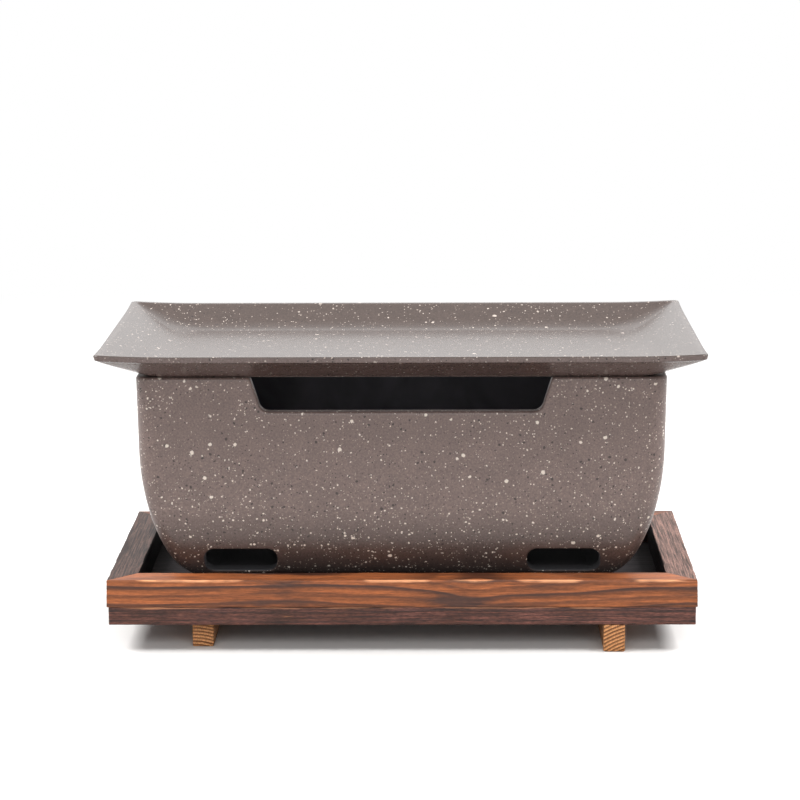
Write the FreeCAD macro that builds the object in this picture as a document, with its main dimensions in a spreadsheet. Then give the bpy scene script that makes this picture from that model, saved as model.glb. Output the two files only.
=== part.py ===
"""Tabletop charcoal barbecue grill: a cast stove with a lift-off plate on a charred wooden tray.

Millimetres. The origin is on the table under the middle of the tray, with +X along the tray
to the right, +Y away from the user and +Z up.
"""

import FreeCAD
import Part
import math
import os
import re
import Sketcher

from FreeCAD import Placement, Rotation, Vector

# Driving sizes: alias, value, what it is
SIZES = [
    ("tray_end_overhang", 12.1, "how far the tray reaches past the stove's rim at each end"),
    ("tray_side_overhang", 7.2, "how far the tray reaches past the stove's rim, front and back"),
    ("rail_width", 12.0, "tray rail, seen from above"),
    ("rail_height", 11.0, "tray rail, above the base board"),
    ("rail_arris", 0.9, "rounding of the rail's top edges"),
    ("board_thickness", 7.3, "base board"),
    ("board_reveal", 0.4, "how far the base board's edge stands back from the rails"),
    ("bearer_width", 8.5, "bearer under the tray"),
    ("bearer_height", 11.0, "bearer under the tray"),
    ("bearer_shortfall", 17.0, "how much shorter the bearers are than the tray is wide"),
    ("bearer_arris", 0.5, "chamfer along the bearer's lower edges"),
    ("left_bearer_inset", 36.9, "middle of the left bearer, from the tray's left end"),
    ("right_bearer_inset", 32.4, "middle of the right bearer, from the tray's right end"),
    ("left_bearer_setback", 8.0, "front end of the left bearer, behind the board's edge"),
    ("right_bearer_setback", 0.2, "front end of the right bearer, behind the board's edge"),
    ("screw_diameter", 3.0, "bearer screw, shank"),
    ("screw_head", 5.6, "bearer screw, countersunk head"),
    ("screw_length", 15.5, "bearer screw, head to tip"),
    ("screw_point", 3.0, "bearer screw, length of its point"),
    ("screw_sink", 0.5, "how deep the screw head lies in the bearer"),
    ("nail_diameter", 1.6, "rail nail, shank"),
    ("nail_head", 3.2, "rail nail, head"),
    ("nail_head_thickness", 0.8, "rail nail, head"),
    ("nail_length", 16.0, "rail nail, head to tip"),
    ("nail_point", 2.0, "rail nail, length of its point"),
    ("fastener_clearance", 0.1, "room round a nail or screw, and past its tip"),
    ("stove_length", 206.8, "stove at its rim, left to right"),
    ("stove_width", 102.6, "stove at its rim, front to back"),
    ("stove_height", 89.8, "stove, from under its feet to its rim"),
    ("stove_wall", 4.6, "stove wall and floor"),
    ("stove_draft", 0.5, "how much each wall leans in from rim to curve"),
    ("stove_corner", 7.0, "upright corner of the stove, outside radius"),
    ("end_curve", 56.0, "height of the curve at the foot of each end wall"),
    ("end_upper_radius", 100.0, "end wall, the flat part of its curve"),
    ("end_lower_radius", 26.0, "end wall, the tight part of its curve"),
    ("side_curve", 35.3, "height of the curve at the foot of the front and back walls"),
    ("side_upper_radius", 50.0, "front and back walls, the flat part of their curve"),
    ("side_lower_radius", 20.0, "front and back walls, the tight part of their curve"),
    ("base_trim", 0.4, "how far the flat underside cuts off the foot of these curves"),
    ("stove_rim_round", 1.2, "rounding of the stove rim's outer edge"),
    ("window_margin", 44.8, "wall left at the rim between the fire window and each end"),
    ("window_lean", 4.4, "how far each side of the window leans in, from rim to sill"),
    ("window_depth", 13.5, "fire window, rim to sill"),
    ("window_corner", 4.0, "fire window, radius at the sill's ends"),
    ("window_shoulder", 1.6, "fire window, rounding where its sides meet the rim"),
    ("vent_length", 28.4, "air vent, left to right"),
    ("vent_height", 9.9, "air vent, top to bottom"),
    ("vent_corner", 4.0, "air vent, corner radius"),
    ("vent_round", 0.8, "rounding of the vent's outer edge"),
    ("vent_inset", 39.9, "middle of each vent, from the nearer end of the stove"),
    ("vent_sill", 10.7, "lower edge of the vents, above the stove's feet"),
    ("foot_diameter", 12.0, "cast foot under the stove"),
    ("foot_height", 4.0, "cast foot under the stove"),
    ("foot_end_inset", 51.4, "middle of each foot, from the nearer end of the stove"),
    ("foot_side_inset", 33.3, "middle of each foot, from the nearer side of the stove"),
    ("lug_length", 9.0, "cast lug that carries the charcoal grate, along the wall"),
    ("lug_reach", 6.0, "how far the lug stands out from the wall"),
    ("lug_root", 1.2, "how far the lug is let into the wall"),
    ("lug_height", 4.0, "cast lug, top to bottom"),
    ("lug_inset", 61.4, "middle of each lug, from the nearer end of the stove"),
    ("grate_level", 28.0, "underside of the charcoal grate, above the stove's feet"),
    ("grate_thickness", 2.0, "charcoal grate"),
    ("grate_clearance", 1.5, "room round the grate where it lies"),
    ("grate_corner", 7.0, "charcoal grate, corner radius"),
    ("grate_border", 7.0, "solid border round the grate's slots"),
    ("grate_web", 6.0, "solid strip along the grate's middle"),
    ("slot_width", 5.0, "slot in the charcoal grate"),
    ("plate_end_overhang", 13.8, "how far the plate reaches past the stove's rim at each end"),
    ("plate_side_overhang", 15.7, "how far the plate reaches past the stove's rim, front and back"),
    ("plate_height", 10.9, "grill plate, underside to the middle of its rim"),
    ("plate_flare", 17.6, "how far the plate's side leans out"),
    ("plate_thickness", 3.0, "grill plate, floor"),
    ("plate_edge", 2.3, "upright edge of the plate's rim"),
    ("plate_edge_lean", 0.3, "how far that edge leans in to its foot"),
    ("plate_edge_round", 0.6, "easing of the rim's top edges"),
    ("plate_land", 2.5, "rim of the plate, seen from above"),
    ("plate_floor_inset", 3.6, "foot of the plate's side, inside from its underside's edge"),
    ("plate_floor_round", 6.5, "reach of the hollow between the plate's floor and side"),
    ("plate_rim_corner", 2.0, "corner of the plate's rim, seen from above"),
    ("plate_base_corner", 8.0, "corner of the plate's underside, seen from above"),
    ("plate_floor_corner", 14.0, "corner of the plate's floor, seen from above"),
    ("plate_base_round", 0.6, "easing round the plate's underside"),
    ("corner_rise", 0.8, "how much the plate's rim turns up at each corner"),
    ("corner_run", 28.0, "length of rim that turns up, from each corner"),
    ("peg_diameter", 5.0, "locating peg under the plate"),
    ("peg_height", 2.5, "locating peg under the plate"),
    ("peg_clearance", 0.9, "room between a peg and the stove's walls"),
    ("overrun", 5.0, "how far every cut runs past the material"),
]

# Counts and shares, which stay the same at any size
SLOT_COLUMNS = 13
SLOT_ROWS = 2
LONG_NAIL_SHARES = (-0.52, 0, 0.52)  # nails of a long rail, of its half length
SHORT_NAIL_SHARES = (-0.5, 0.5)  # nails of a short rail, of its half length
SCREW_SHARES = (-0.3, 0.3)  # screws of a bearer, of its length
COUNTERSINK = 90  # degrees

# Sizes that follow from the driving ones, as formulas: the tray and plate fit the stove
TRAY_LENGTH = "(stove_length + 2 * tray_end_overhang)"
TRAY_WIDTH = "(stove_width + 2 * tray_side_overhang)"
TRAY_FLOOR = "(bearer_height + board_thickness)"
BOARD_END = f"({TRAY_LENGTH} / 2 - board_reveal)"
BOARD_FRONT = f"({TRAY_WIDTH} / 2 - board_reveal)"
BEARER_LENGTH = f"({TRAY_WIDTH} - bearer_shortfall)"
RIM_LEVEL = f"({TRAY_FLOOR} + stove_height)"
WINDOW_END = "(stove_length / 2 - window_margin)"
VENT_PLACE = "(stove_length / 2 - vent_inset)"
FOOT_END = "(stove_length / 2 - foot_end_inset)"
FOOT_SIDE = "(stove_width / 2 - foot_side_inset)"
LUG_PLACE = "(stove_length / 2 - lug_inset)"
PLATE_LENGTH = "(stove_length + 2 * plate_end_overhang)"
PLATE_WIDTH = "(stove_width + 2 * plate_side_overhang)"

ALIASES = {alias for alias, value, meaning in SIZES}
UPRIGHT = Vector(0, 0, 1)
FULL_TURN = 360  # degrees

doc = FreeCAD.newDocument("charcoal_grill")
sheet = doc.addObject("Spreadsheet::Sheet", "sizes")
for row, (alias, value, meaning) in enumerate(SIZES, start=1):
    sheet.set(f"A{row}", meaning)
    sheet.set(f"B{row}", str(value))
    sheet.setAlias(f"B{row}", alias)
doc.recompute()

parts = []


def cells(formula):
    """The formula as an expression, with each size name pointing at its cell."""
    return re.sub(
        r"[a-z_]+",
        lambda word: "sizes." + word.group() if word.group() in ALIASES else word.group(),
        formula,
    )


def number(formula):
    """What the formula comes to with the sheet's sizes."""
    return float(sheet.evalExpression(cells(formula)))


def bind(thing, prop, formula):
    """Ties a property of an object to a formula in the sheet's sizes."""
    thing.setExpression(prop, cells(formula))


# Bodies, sketches and features


def new_body(label):
    body = doc.addObject("PartDesign::Body", label)
    body.Label = label
    parts.append(body)
    return body


def origin_feature(body, role):
    return next(item for item in body.Origin.OriginFeatures if item.Role == role)


def new_sketch(body, name, role="XY_Plane", lift=None):
    """A sketch on one of the body's origin planes, lifted off it along its normal."""
    sketch = body.newObject("Sketcher::SketchObject", f"{body.Name}_{name}")
    sketch.AttachmentSupport = [(origin_feature(body, role), "")]
    sketch.MapMode = "FlatFace"
    if lift is not None:
        bind(sketch, "AttachmentOffset.Base.z", lift)
    return sketch


def hold(sketch, kind, point, formula):
    """A driving distance from the sketch's origin to a point, tied to a formula."""
    origin = (-1, 1)
    index = sketch.addConstraint(
        Sketcher.Constraint(kind, *origin, *point, number(formula))
    )
    bind(sketch, f"Constraints[{index}]", formula)


def pin_point(sketch, point, x, y):
    """Holds one sketch point at the place that two formulas give."""
    for kind, formula, axis in (("DistanceX", x, -2), ("DistanceY", y, -1)):
        if formula == "0":
            sketch.addConstraint(Sketcher.Constraint("PointOnObject", *point, axis))
        else:
            hold(sketch, kind, point, formula)


def add_polygon(sketch, points):
    """A closed outline of straight sides through points given as pairs of formulas."""
    places = [Vector(number(x), number(y), 0) for x, y in points]
    lines = []
    for start, end in zip(places, places[1:] + places[:1]):
        lines.append(sketch.addGeometry(Part.LineSegment(start, end)))
    for line, following in zip(lines, lines[1:] + lines[:1]):
        sketch.addConstraint(Sketcher.Constraint("Coincident", line, 2, following, 1))
    for line, (x, y) in zip(lines, points):
        pin_point(sketch, (line, 1), x, y)


def add_rounded_rectangle(sketch, half_length, half_width, corner, x="0", y="0"):
    """A rectangle with round corners about the point x, y, from formulas."""
    right = number(f"{x} + {half_length}")
    left = number(f"{x} - {half_length}")
    top = number(f"{y} + {half_width}")
    bottom = number(f"{y} - {half_width}")
    radius = number(corner)
    sides = [
        (Vector(left + radius, bottom), Vector(right - radius, bottom)),
        (Vector(right, bottom + radius), Vector(right, top - radius)),
        (Vector(right - radius, top), Vector(left + radius, top)),
        (Vector(left, top - radius), Vector(left, bottom + radius)),
    ]
    centres = [
        Vector(right - radius, bottom + radius),
        Vector(right - radius, top - radius),
        Vector(left + radius, top - radius),
        Vector(left + radius, bottom + radius),
    ]
    lines = [sketch.addGeometry(Part.LineSegment(*side)) for side in sides]
    arcs = []
    for turn, centre in enumerate(centres):
        circle = Part.Circle(centre, UPRIGHT, radius)
        start, end = (turn - 1) * math.pi / 2, turn * math.pi / 2
        arcs.append(sketch.addGeometry(Part.ArcOfCircle(circle, start, end)))
    for line, arc, following in zip(lines, arcs, lines[1:] + lines[:1]):
        sketch.addConstraint(Sketcher.Constraint("Tangent", line, 2, arc, 1))
        sketch.addConstraint(Sketcher.Constraint("Tangent", arc, 2, following, 1))
    for line, kind in zip(lines, ("Horizontal", "Vertical", "Horizontal", "Vertical")):
        sketch.addConstraint(Sketcher.Constraint(kind, line))
    for arc in arcs[1:]:
        sketch.addConstraint(Sketcher.Constraint("Equal", arcs[0], arc))
    index = sketch.addConstraint(Sketcher.Constraint("Radius", arcs[0], radius))
    bind(sketch, f"Constraints[{index}]", corner)
    hold(sketch, "DistanceX", (lines[1], 1), f"{x} + {half_length}")
    hold(sketch, "DistanceX", (lines[3], 1), f"{x} - {half_length}")
    hold(sketch, "DistanceY", (lines[2], 1), f"{y} + {half_width}")
    hold(sketch, "DistanceY", (lines[0], 1), f"{y} - {half_width}")


def add_circle(sketch, x, y, diameter):
    """A circle about the point x, y, from formulas."""
    centre = Vector(number(x), number(y), 0)
    circle = sketch.addGeometry(Part.Circle(centre, UPRIGHT, number(diameter) / 2))
    index = sketch.addConstraint(
        Sketcher.Constraint("Diameter", circle, number(diameter))
    )
    bind(sketch, f"Constraints[{index}]", diameter)
    pin_point(sketch, (circle, 3), x, y)


def settle(feature, adds=None):
    """Recomputes and stops unless the feature added or took away material as it should."""
    doc.recompute()
    if feature.Shape.isNull() or not feature.Shape.isValid():
        raise RuntimeError(f"{feature.Name} has no valid shape")
    before = feature.BaseFeature.Shape.Volume if feature.BaseFeature else 0
    change = feature.Shape.Volume - before
    wrong_way = adds is not None and (change > 0) != adds
    if wrong_way or change == 0 or feature.Shape.Volume <= 0:
        raise RuntimeError(f"{feature.Name} changed the volume by {change:.3f}")
    return feature


def add_pad(body, sketch, length, downwards=False, both_ways=False):
    pad = body.newObject("PartDesign::Pad", f"{sketch.Name}_pad")
    pad.Profile = sketch
    bind(pad, "Length", length)
    pad.Reversed = downwards
    if both_ways:
        pad.SideType = "Symmetric"
    return settle(pad, adds=True)


def add_pocket(body, sketch, length=None, upwards=False):
    """A pocket of the given depth, or right through on both sides of the sketch."""
    pocket = body.newObject("PartDesign::Pocket", f"{sketch.Name}_pocket")
    pocket.Profile = sketch
    if length is None:
        pocket.Type = "ThroughAll"
        pocket.SideType = "Symmetric"
    else:
        bind(pocket, "Length", length)
        pocket.Reversed = upwards
    return settle(pocket, adds=False)


def add_edge_feature(body, name, kind, prop, edge_names, amount):
    """A fillet or chamfer on named edges of the body's last feature."""
    base = body.Tip
    feature = body.newObject(kind, f"{body.Name}_{name}")
    feature.Base = (base, edge_names)
    bind(feature, prop, amount)
    return settle(feature)


def add_fillet(body, name, edge_names, radius):
    return add_edge_feature(body, name, "PartDesign::Fillet", "Radius", edge_names, radius)


def edges_where(shape, test):
    """Names of the edges whose end points both pass the test."""
    return [
        f"Edge{index}"
        for index, edge in enumerate(shape.Edges, start=1)
        if all(test(vertex.Point) for vertex in edge.Vertexes)
    ]


def edges_along(shape, axis, test):
    """Names of the edges along one axis whose end points both pass the test."""
    others = [name for name in "xyz" if name != axis]
    return [
        name
        for name in edges_where(shape, test)
        if all(
            near(*[getattr(vertex.Point, other) for vertex in shape.getElement(name).Vertexes])
            for other in others
        )
    ]


def is_outer_rim(point):
    """Whether a point of the stove lies on the outer edge of its rim or of a fire window."""
    outside = (
        abs(point.x) > number("(stove_length - stove_wall) / 2 - stove_draft")
        or abs(point.y) > number("(stove_width - stove_wall) / 2 - stove_draft")
    )
    in_window = abs(point.x) < number(f"{WINDOW_END} + window_shoulder") and (
        point.z > number("stove_height - window_depth - stove_wall / 2")
    )
    return outside and (in_window or near(point.z, number("stove_height")))


def near(first, second):
    """Whether two lengths are the same but for rounding errors."""
    return abs(first - second) < number("stove_wall") / 1000


def add_pattern(body, name, feature, rows):
    """Repeats a feature in straight rows; each row is an axis role, a formula and a count."""
    pattern = body.newObject("PartDesign::MultiTransform", f"{body.Name}_{name}")
    steps = []
    for role, span, count in rows:
        step = body.newObject("PartDesign::LinearPattern", f"{pattern.Name}_{role}")
        step.Direction = (origin_feature(body, role), [""])
        step.Occurrences = count
        bind(step, "Length", span)
        steps.append(step)
    pattern.Originals = [feature]
    pattern.Transformations = steps
    body.Tip = pattern
    return settle(pattern)


# Wooden tray


def base_board():
    """The board under the rails, with holes for the rail nails and the bearer screws."""
    body = new_body("base_board")
    bind(body, "Placement.Base.z", "bearer_height")
    outline = new_sketch(body, "outline")
    add_polygon(
        outline,
        [
            (f"-{BOARD_END}", f"-{BOARD_FRONT}"),
            (BOARD_END, f"-{BOARD_FRONT}"),
            (BOARD_END, BOARD_FRONT),
            (f"-{BOARD_END}", BOARD_FRONT),
        ],
    )
    add_pad(body, outline, "board_thickness")

    shanks = new_sketch(body, "nail_shanks")
    heads = new_sketch(body, "nail_heads")
    for x, y in nail_places():
        add_circle(shanks, x, y, "nail_diameter + 2 * fastener_clearance")
        add_circle(heads, x, y, "nail_head + 2 * fastener_clearance")
    add_pocket(body, shanks, "board_thickness", upwards=True)
    add_pocket(body, heads, "nail_head_thickness + fastener_clearance", upwards=True)

    screws = new_sketch(body, "screw_holes")
    for x, y in screw_places():
        add_circle(screws, x, y, "screw_diameter + 2 * fastener_clearance")
    reach = "screw_sink + screw_length - bearer_height + fastener_clearance"
    add_pocket(body, screws, reach, upwards=True)


def along(share, length):
    """A share of a length as a formula, with a plain zero for the middle."""
    return "0" if share == 0 else f"{share} * {length}"


def nail_places():
    """Where the nails stand: along the middle line of each rail."""
    line_x = f"({TRAY_LENGTH} - rail_width) / 2"
    line_y = f"({TRAY_WIDTH} - rail_width) / 2"
    places = []
    for y in (f"-{line_y}", line_y):
        for share in LONG_NAIL_SHARES:
            places.append((along(share, f"{TRAY_LENGTH} / 2"), y))
    for x in (f"-{line_x}", line_x):
        for share in SHORT_NAIL_SHARES:
            places.append((x, along(share, f"{TRAY_WIDTH} / 2")))
    return places


def bearer_middle(side):
    """The middle of one bearer, seen from above."""
    sign = "-" if side == "left" else ""
    x = f"{sign}({TRAY_LENGTH} / 2 - {side}_bearer_inset)"
    y = f"({side}_bearer_setback - {BOARD_FRONT} + {BEARER_LENGTH} / 2)"
    return x, y


def screw_places():
    places = []
    for side in ("left", "right"):
        x, y = bearer_middle(side)
        for share in SCREW_SHARES:
            places.append((x, f"{y} + {along(share, BEARER_LENGTH)}"))
    return places


def mitred_rail(label, run, depth, nail_shares, turn):
    """One rail of the frame, drawn as the front one and turned to its side of the tray."""
    half_run, half_depth = f"{run} / 2", f"{depth} / 2"
    body = new_body(label)
    body.Placement = Placement(Vector(), Rotation(UPRIGHT, turn))
    bind(body, "Placement.Base.z", TRAY_FLOOR)
    outline = new_sketch(body, "outline")
    add_polygon(
        outline,
        [
            (f"-{half_run}", f"-{half_depth}"),
            (half_run, f"-{half_depth}"),
            (f"{half_run} - rail_width", f"rail_width - {half_depth}"),
            (f"rail_width - {half_run}", f"rail_width - {half_depth}"),
        ],
    )
    add_pad(body, outline, "rail_height")

    nails = new_sketch(body, "nail_holes")
    for share in nail_shares:
        y = f"rail_width / 2 - {half_depth}"
        add_circle(nails, along(share, half_run), y, "nail_diameter + 2 * fastener_clearance")
    add_pocket(
        body, nails, "nail_length - board_thickness + fastener_clearance", upwards=True
    )

    top = number("rail_height")
    shape = body.Tip.Shape
    long_edges = [
        name
        for name in edges_where(shape, lambda point: near(point.z, top))
        if near(*[vertex.Y for vertex in shape.getElement(name).Vertexes])
    ]
    add_fillet(body, "arris", long_edges, "rail_arris")


def bearer(side):
    """A square bearer under the tray, with two countersunk screw holes."""
    body = new_body(f"{side}_bearer")
    x, y = bearer_middle(side)
    bind(body, "Placement.Base.x", x)
    bind(body, "Placement.Base.y", y)
    outline = new_sketch(body, "outline")
    half_width = "bearer_width / 2"
    half_length = f"{BEARER_LENGTH} / 2"
    add_polygon(
        outline,
        [
            (f"-{half_width}", f"-{half_length}"),
            (half_width, f"-{half_length}"),
            (half_width, half_length),
            (f"-{half_width}", half_length),
        ],
    )
    add_pad(body, outline, "bearer_height")

    shape = body.Tip.Shape
    lower_edges = [
        name
        for name in edges_where(shape, lambda point: near(point.z, 0))
        if near(*[vertex.X for vertex in shape.getElement(name).Vertexes])
    ]
    add_edge_feature(
        body, "arris", "PartDesign::Chamfer", "Size", lower_edges, "bearer_arris"
    )

    centres = new_sketch(body, "screw_centres")
    for share in SCREW_SHARES:
        add_circle(centres, "0", along(share, BEARER_LENGTH), "screw_diameter")
    doc.recompute()
    hole = body.newObject("PartDesign::Hole", f"{body.Name}_screw_holes")
    hole.Profile = centres
    hole.DepthType = "ThroughAll"
    hole.Reversed = True
    hole.HoleCutType = "Countersink"
    hole.HoleCutCustomValues = True
    hole.HoleCutCountersinkAngle = COUNTERSINK
    bind(hole, "Diameter", "screw_diameter + 2 * fastener_clearance")
    bind(hole, "HoleCutDiameter", "screw_head + 2 * screw_sink + 2 * fastener_clearance")
    settle(hole, adds=False)


def fastener_group(label, profile, places, foot):
    """One set of like turned fasteners, each its own solid, standing upright at its place."""
    outline = Part.makePolygon([Vector(number(r), 0, number(h)) for r, h in profile])
    solid = Part.Face(outline).revolve(Vector(), UPRIGHT, FULL_TURN)
    solids = [solid.translated(Vector(number(x), number(y), 0)) for x, y in places]
    group = doc.addObject("Part::Feature", label)
    group.Label = label
    group.Shape = Part.makeCompound(solids)
    group.Placement = Placement(Vector(0, 0, number(foot)), Rotation())
    parts.append(group)


def bearer_screws():
    """Countersunk wood screws that hold the bearers to the board, from below."""
    radius = "screw_diameter / 2"
    head = "screw_head / 2"
    profile = [
        ("0", "0"),
        (head, "0"),
        (radius, f"{head} - {radius}"),
        (radius, "screw_length - screw_point"),
        ("0", "screw_length"),
        ("0", "0"),
    ]
    fastener_group("bearer_screws", profile, screw_places(), "screw_sink")


def frame_nails():
    """Nails through the base board into the rails, from below."""
    radius = "nail_diameter / 2"
    profile = [
        ("0", "0"),
        ("nail_head / 2", "0"),
        ("nail_head / 2", "nail_head_thickness"),
        (radius, "nail_head_thickness"),
        (radius, "nail_length - nail_point"),
        ("0", "nail_length"),
        ("0", "0"),
    ]
    fastener_group("frame_nails", profile, nail_places(), "bearer_height")


# Cast stove


def curve_start(half):
    """Half the stove's size where a wall's curve begins."""
    return f"({half} - stove_draft)"


def wall_centres(half, curve, upper, lower, shrink):
    """The middles of the two arcs of a wall's curve: the upper, then the lower."""
    drop = number(f"stove_height - foot_height - {curve}")
    lean = Vector(number("stove_draft"), drop, 0).normalize()
    out = Vector(lean.y, -lean.x, 0)
    foot = Vector(number(f"{curve_start(half)} - {shrink}"), number(f"foot_height + {curve}"), 0)
    upper_centre = foot - out * number(f"{upper} - {shrink}")
    level = number(f"foot_height + {lower}")
    reach = number(f"{upper} - {lower}")
    across = (reach**2 - (upper_centre.y - level) ** 2) ** 0.5
    return upper_centre, Vector(upper_centre.x + across, level, 0)


def angle_of(direction):
    """The direction's angle from the sketch's X axis, in radians."""
    return math.atan2(direction.y, direction.x)


def add_wall_profile(sketch, half, curve, upper, lower, shrink, top):
    """The stove's outline in one direction: leaning walls that curve in to a flat base."""
    upper_centre, lower_centre = wall_centres(half, curve, upper, lower, shrink)
    joint = angle_of(lower_centre - upper_centre)
    lean = f"(stove_draft / (stove_height - foot_height - {curve}))"
    foot_x, foot_y = f"({curve_start(half)} - {shrink})", f"(foot_height + {curve})"
    top_x = f"({half} - {shrink} + ({top} - stove_height) * {lean})"
    wall_foot = Vector(number(foot_x), number(foot_y), 0)
    wall_top = Vector(number(top_x), number(top), 0)
    base_level = f"(foot_height + {shrink} + base_trim)"
    lower_radius = number(f"{lower} - {shrink}")
    base_angle = math.acos(1 - number("base_trim") / lower_radius) - math.pi / 2
    base_reach = Vector(math.cos(base_angle), math.sin(base_angle), 0) * lower_radius
    base_end = lower_centre + base_reach

    def mirrored(point):
        return Vector(-point.x, point.y, 0)

    def arc(centre, radius, first, last):
        circle = Part.Circle(centre, UPRIGHT, number(f"{radius} - {shrink}"))
        return sketch.addGeometry(Part.ArcOfCircle(circle, first, last))

    start = angle_of(wall_foot - upper_centre)
    base = sketch.addGeometry(Part.LineSegment(mirrored(base_end), base_end))
    right_lower = arc(lower_centre, lower, base_angle, joint)
    right_upper = arc(upper_centre, upper, joint, start)
    right_wall = sketch.addGeometry(Part.LineSegment(wall_foot, wall_top))
    rim = sketch.addGeometry(Part.LineSegment(wall_top, mirrored(wall_top)))
    left_wall = sketch.addGeometry(
        Part.LineSegment(mirrored(wall_top), mirrored(wall_foot))
    )
    left_upper = arc(mirrored(upper_centre), upper, math.pi - start, math.pi - joint)
    left_lower = arc(mirrored(lower_centre), lower, math.pi - joint, math.pi - base_angle)
    for curve_pieces in (
        (right_lower, right_upper, right_wall),
        (left_wall, left_upper, left_lower),
    ):
        for piece, following in zip(curve_pieces, curve_pieces[1:]):
            sketch.addConstraint(Sketcher.Constraint("Tangent", piece, 2, following, 1))
    corners = [left_lower, base, right_lower], [right_wall, rim, left_wall]
    for before, straight, after in corners:
        sketch.addConstraint(Sketcher.Constraint("Coincident", before, 2, straight, 1))
        sketch.addConstraint(Sketcher.Constraint("Coincident", straight, 2, after, 1))
    sketch.addConstraint(Sketcher.Constraint("Horizontal", base))
    for piece, radius in (
        (right_lower, lower),
        (right_upper, upper),
        (left_upper, upper),
        (left_lower, lower),
    ):
        formula = f"{radius} - {shrink}"
        index = sketch.addConstraint(
            Sketcher.Constraint("Radius", piece, number(formula))
        )
        bind(sketch, f"Constraints[{index}]", formula)
    pin_point(sketch, (right_wall, 1), foot_x, foot_y)
    pin_point(sketch, (right_wall, 2), top_x, top)
    pin_point(sketch, (left_wall, 1), f"-{top_x}", top)
    pin_point(sketch, (left_wall, 2), f"-{foot_x}", foot_y)
    hold(sketch, "DistanceY", (base, 1), base_level)
    for piece in (right_lower, left_lower):
        hold(sketch, "DistanceY", (piece, 3), f"foot_height + {lower}")


def add_form(body, shrink, top):
    """The solid between the end outline and the side outline, with round upright corners."""
    ends = new_sketch(body, "end_outline", "XZ_Plane")
    add_wall_profile(
        ends, "stove_length / 2", "end_curve", "end_upper_radius", "end_lower_radius",
        shrink, top,
    )
    add_pad(body, ends, "stove_width + 2 * overrun", both_ways=True)
    across = doc.addObject("PartDesign::Body", f"{body.Name}_across")
    sides = new_sketch(across, "side_outline", "YZ_Plane")
    add_wall_profile(
        sides, "stove_width / 2", "side_curve", "side_upper_radius", "side_lower_radius",
        shrink, top,
    )
    add_pad(across, sides, "stove_length + 2 * overrun", both_ways=True)
    add_boolean(body, "Common", across)
    corners = [
        f"Edge{index}"
        for index, edge in enumerate(body.Tip.Shape.Edges, start=1)
        if not near(*[vertex.Z for vertex in edge.Vertexes])
    ]
    add_fillet(body, "corners", corners, f"stove_corner - {shrink}")


def add_boolean(body, kind, other):
    boolean = body.newObject("PartDesign::Boolean", f"{body.Name}_{kind.lower()}")
    boolean.Type = kind
    boolean.setObjects([other])
    return settle(boolean, adds=False)


def chamber_half(across, level):
    """Half the chamber's length or width at a height above the feet, within its curve."""
    half, curve, upper, lower = (
        ("stove_width / 2", "side_curve", "side_upper_radius", "side_lower_radius")
        if across
        else ("stove_length / 2", "end_curve", "end_upper_radius", "end_lower_radius")
    )
    below = f"(max(0; foot_height + {curve} - {level}))"
    radius = f"({upper} - stove_wall)"
    turned = f"({radius} - sqrt(pow({radius}; 2) - pow({below}; 2)))"
    return f"({curve_start(half)} - stove_wall - {turned})"


def stove_body():
    """The cast box: two outlines crossed, cut and rounded outside, then hollowed."""
    body = new_body("stove_body")
    bind(body, "Placement.Base.z", TRAY_FLOOR)
    add_form(body, "0", "stove_height")
    add_fire_windows(body)
    add_vents(body)
    chamber = doc.addObject("PartDesign::Body", "chamber")
    add_form(chamber, "stove_wall", "(stove_height + overrun)")
    add_boolean(body, "Cut", chamber)
    add_feet(body)
    add_lugs(body)


def add_fire_windows(body):
    """Windows in the front and back walls, open to the rim and rounded with it."""
    window = new_sketch(body, "window", "XZ_Plane")
    sill_end = f"({WINDOW_END} - window_lean)"
    above = f"({WINDOW_END} + overrun * window_lean / window_depth)"
    add_polygon(
        window,
        [
            (f"-{sill_end}", "stove_height - window_depth"),
            (sill_end, "stove_height - window_depth"),
            (above, "stove_height + overrun"),
            (f"-{above}", "stove_height + overrun"),
        ],
    )
    add_pocket(body, window)

    sill = number("stove_height - window_depth")
    rim = number("stove_height")
    corners = edges_along(body.Tip.Shape, "y", lambda point: near(point.z, sill))
    add_fillet(body, "window_corners", corners, "window_corner")
    shoulders = edges_along(
        body.Tip.Shape,
        "y",
        lambda point: near(point.z, rim) and near(abs(point.x), number(WINDOW_END)),
    )
    add_fillet(body, "window_shoulders", shoulders, "window_shoulder")
    outer_edges = [
        f"Edge{index}"
        for index, edge in enumerate(body.Tip.Shape.Edges, start=1)
        if is_outer_rim(edge.CenterOfMass)
    ]
    add_fillet(body, "outer_round", outer_edges, "stove_rim_round")


def add_vents(body):
    """Air vents low in the front and back walls."""
    vents = new_sketch(body, "vents", "XZ_Plane")
    for x in (f"-{VENT_PLACE}", VENT_PLACE):
        add_rounded_rectangle(
            vents,
            "vent_length / 2",
            "vent_height / 2",
            "vent_corner",
            x,
            "(vent_sill + vent_height / 2)",
        )
    add_pocket(body, vents)
    lips = [
        f"Edge{index}"
        for index, edge in enumerate(body.Tip.Shape.Edges, start=1)
        if is_vent_lip(edge.CenterOfMass)
    ]
    add_fillet(body, "vent_round", lips, "vent_round")


def is_vent_lip(point):
    """Whether a point of the unhollowed stove lies on the outer edge of an air vent."""
    slack = number("stove_wall") / 1000
    across = abs(abs(point.x) - number(VENT_PLACE)) < number("vent_length / 2") + slack
    middle = number("vent_sill + vent_height / 2")
    upright = abs(point.z - middle) < number("vent_height / 2") + slack
    return across and upright and abs(point.y) > number("stove_width / 4")


def add_feet(body):
    feet = new_sketch(body, "feet")
    for x in (f"-{FOOT_END}", FOOT_END):
        for y in (f"-{FOOT_SIDE}", FOOT_SIDE):
            add_circle(feet, x, y, "foot_diameter")
    add_pad(body, feet, "foot_height + stove_wall / 2")


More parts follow.
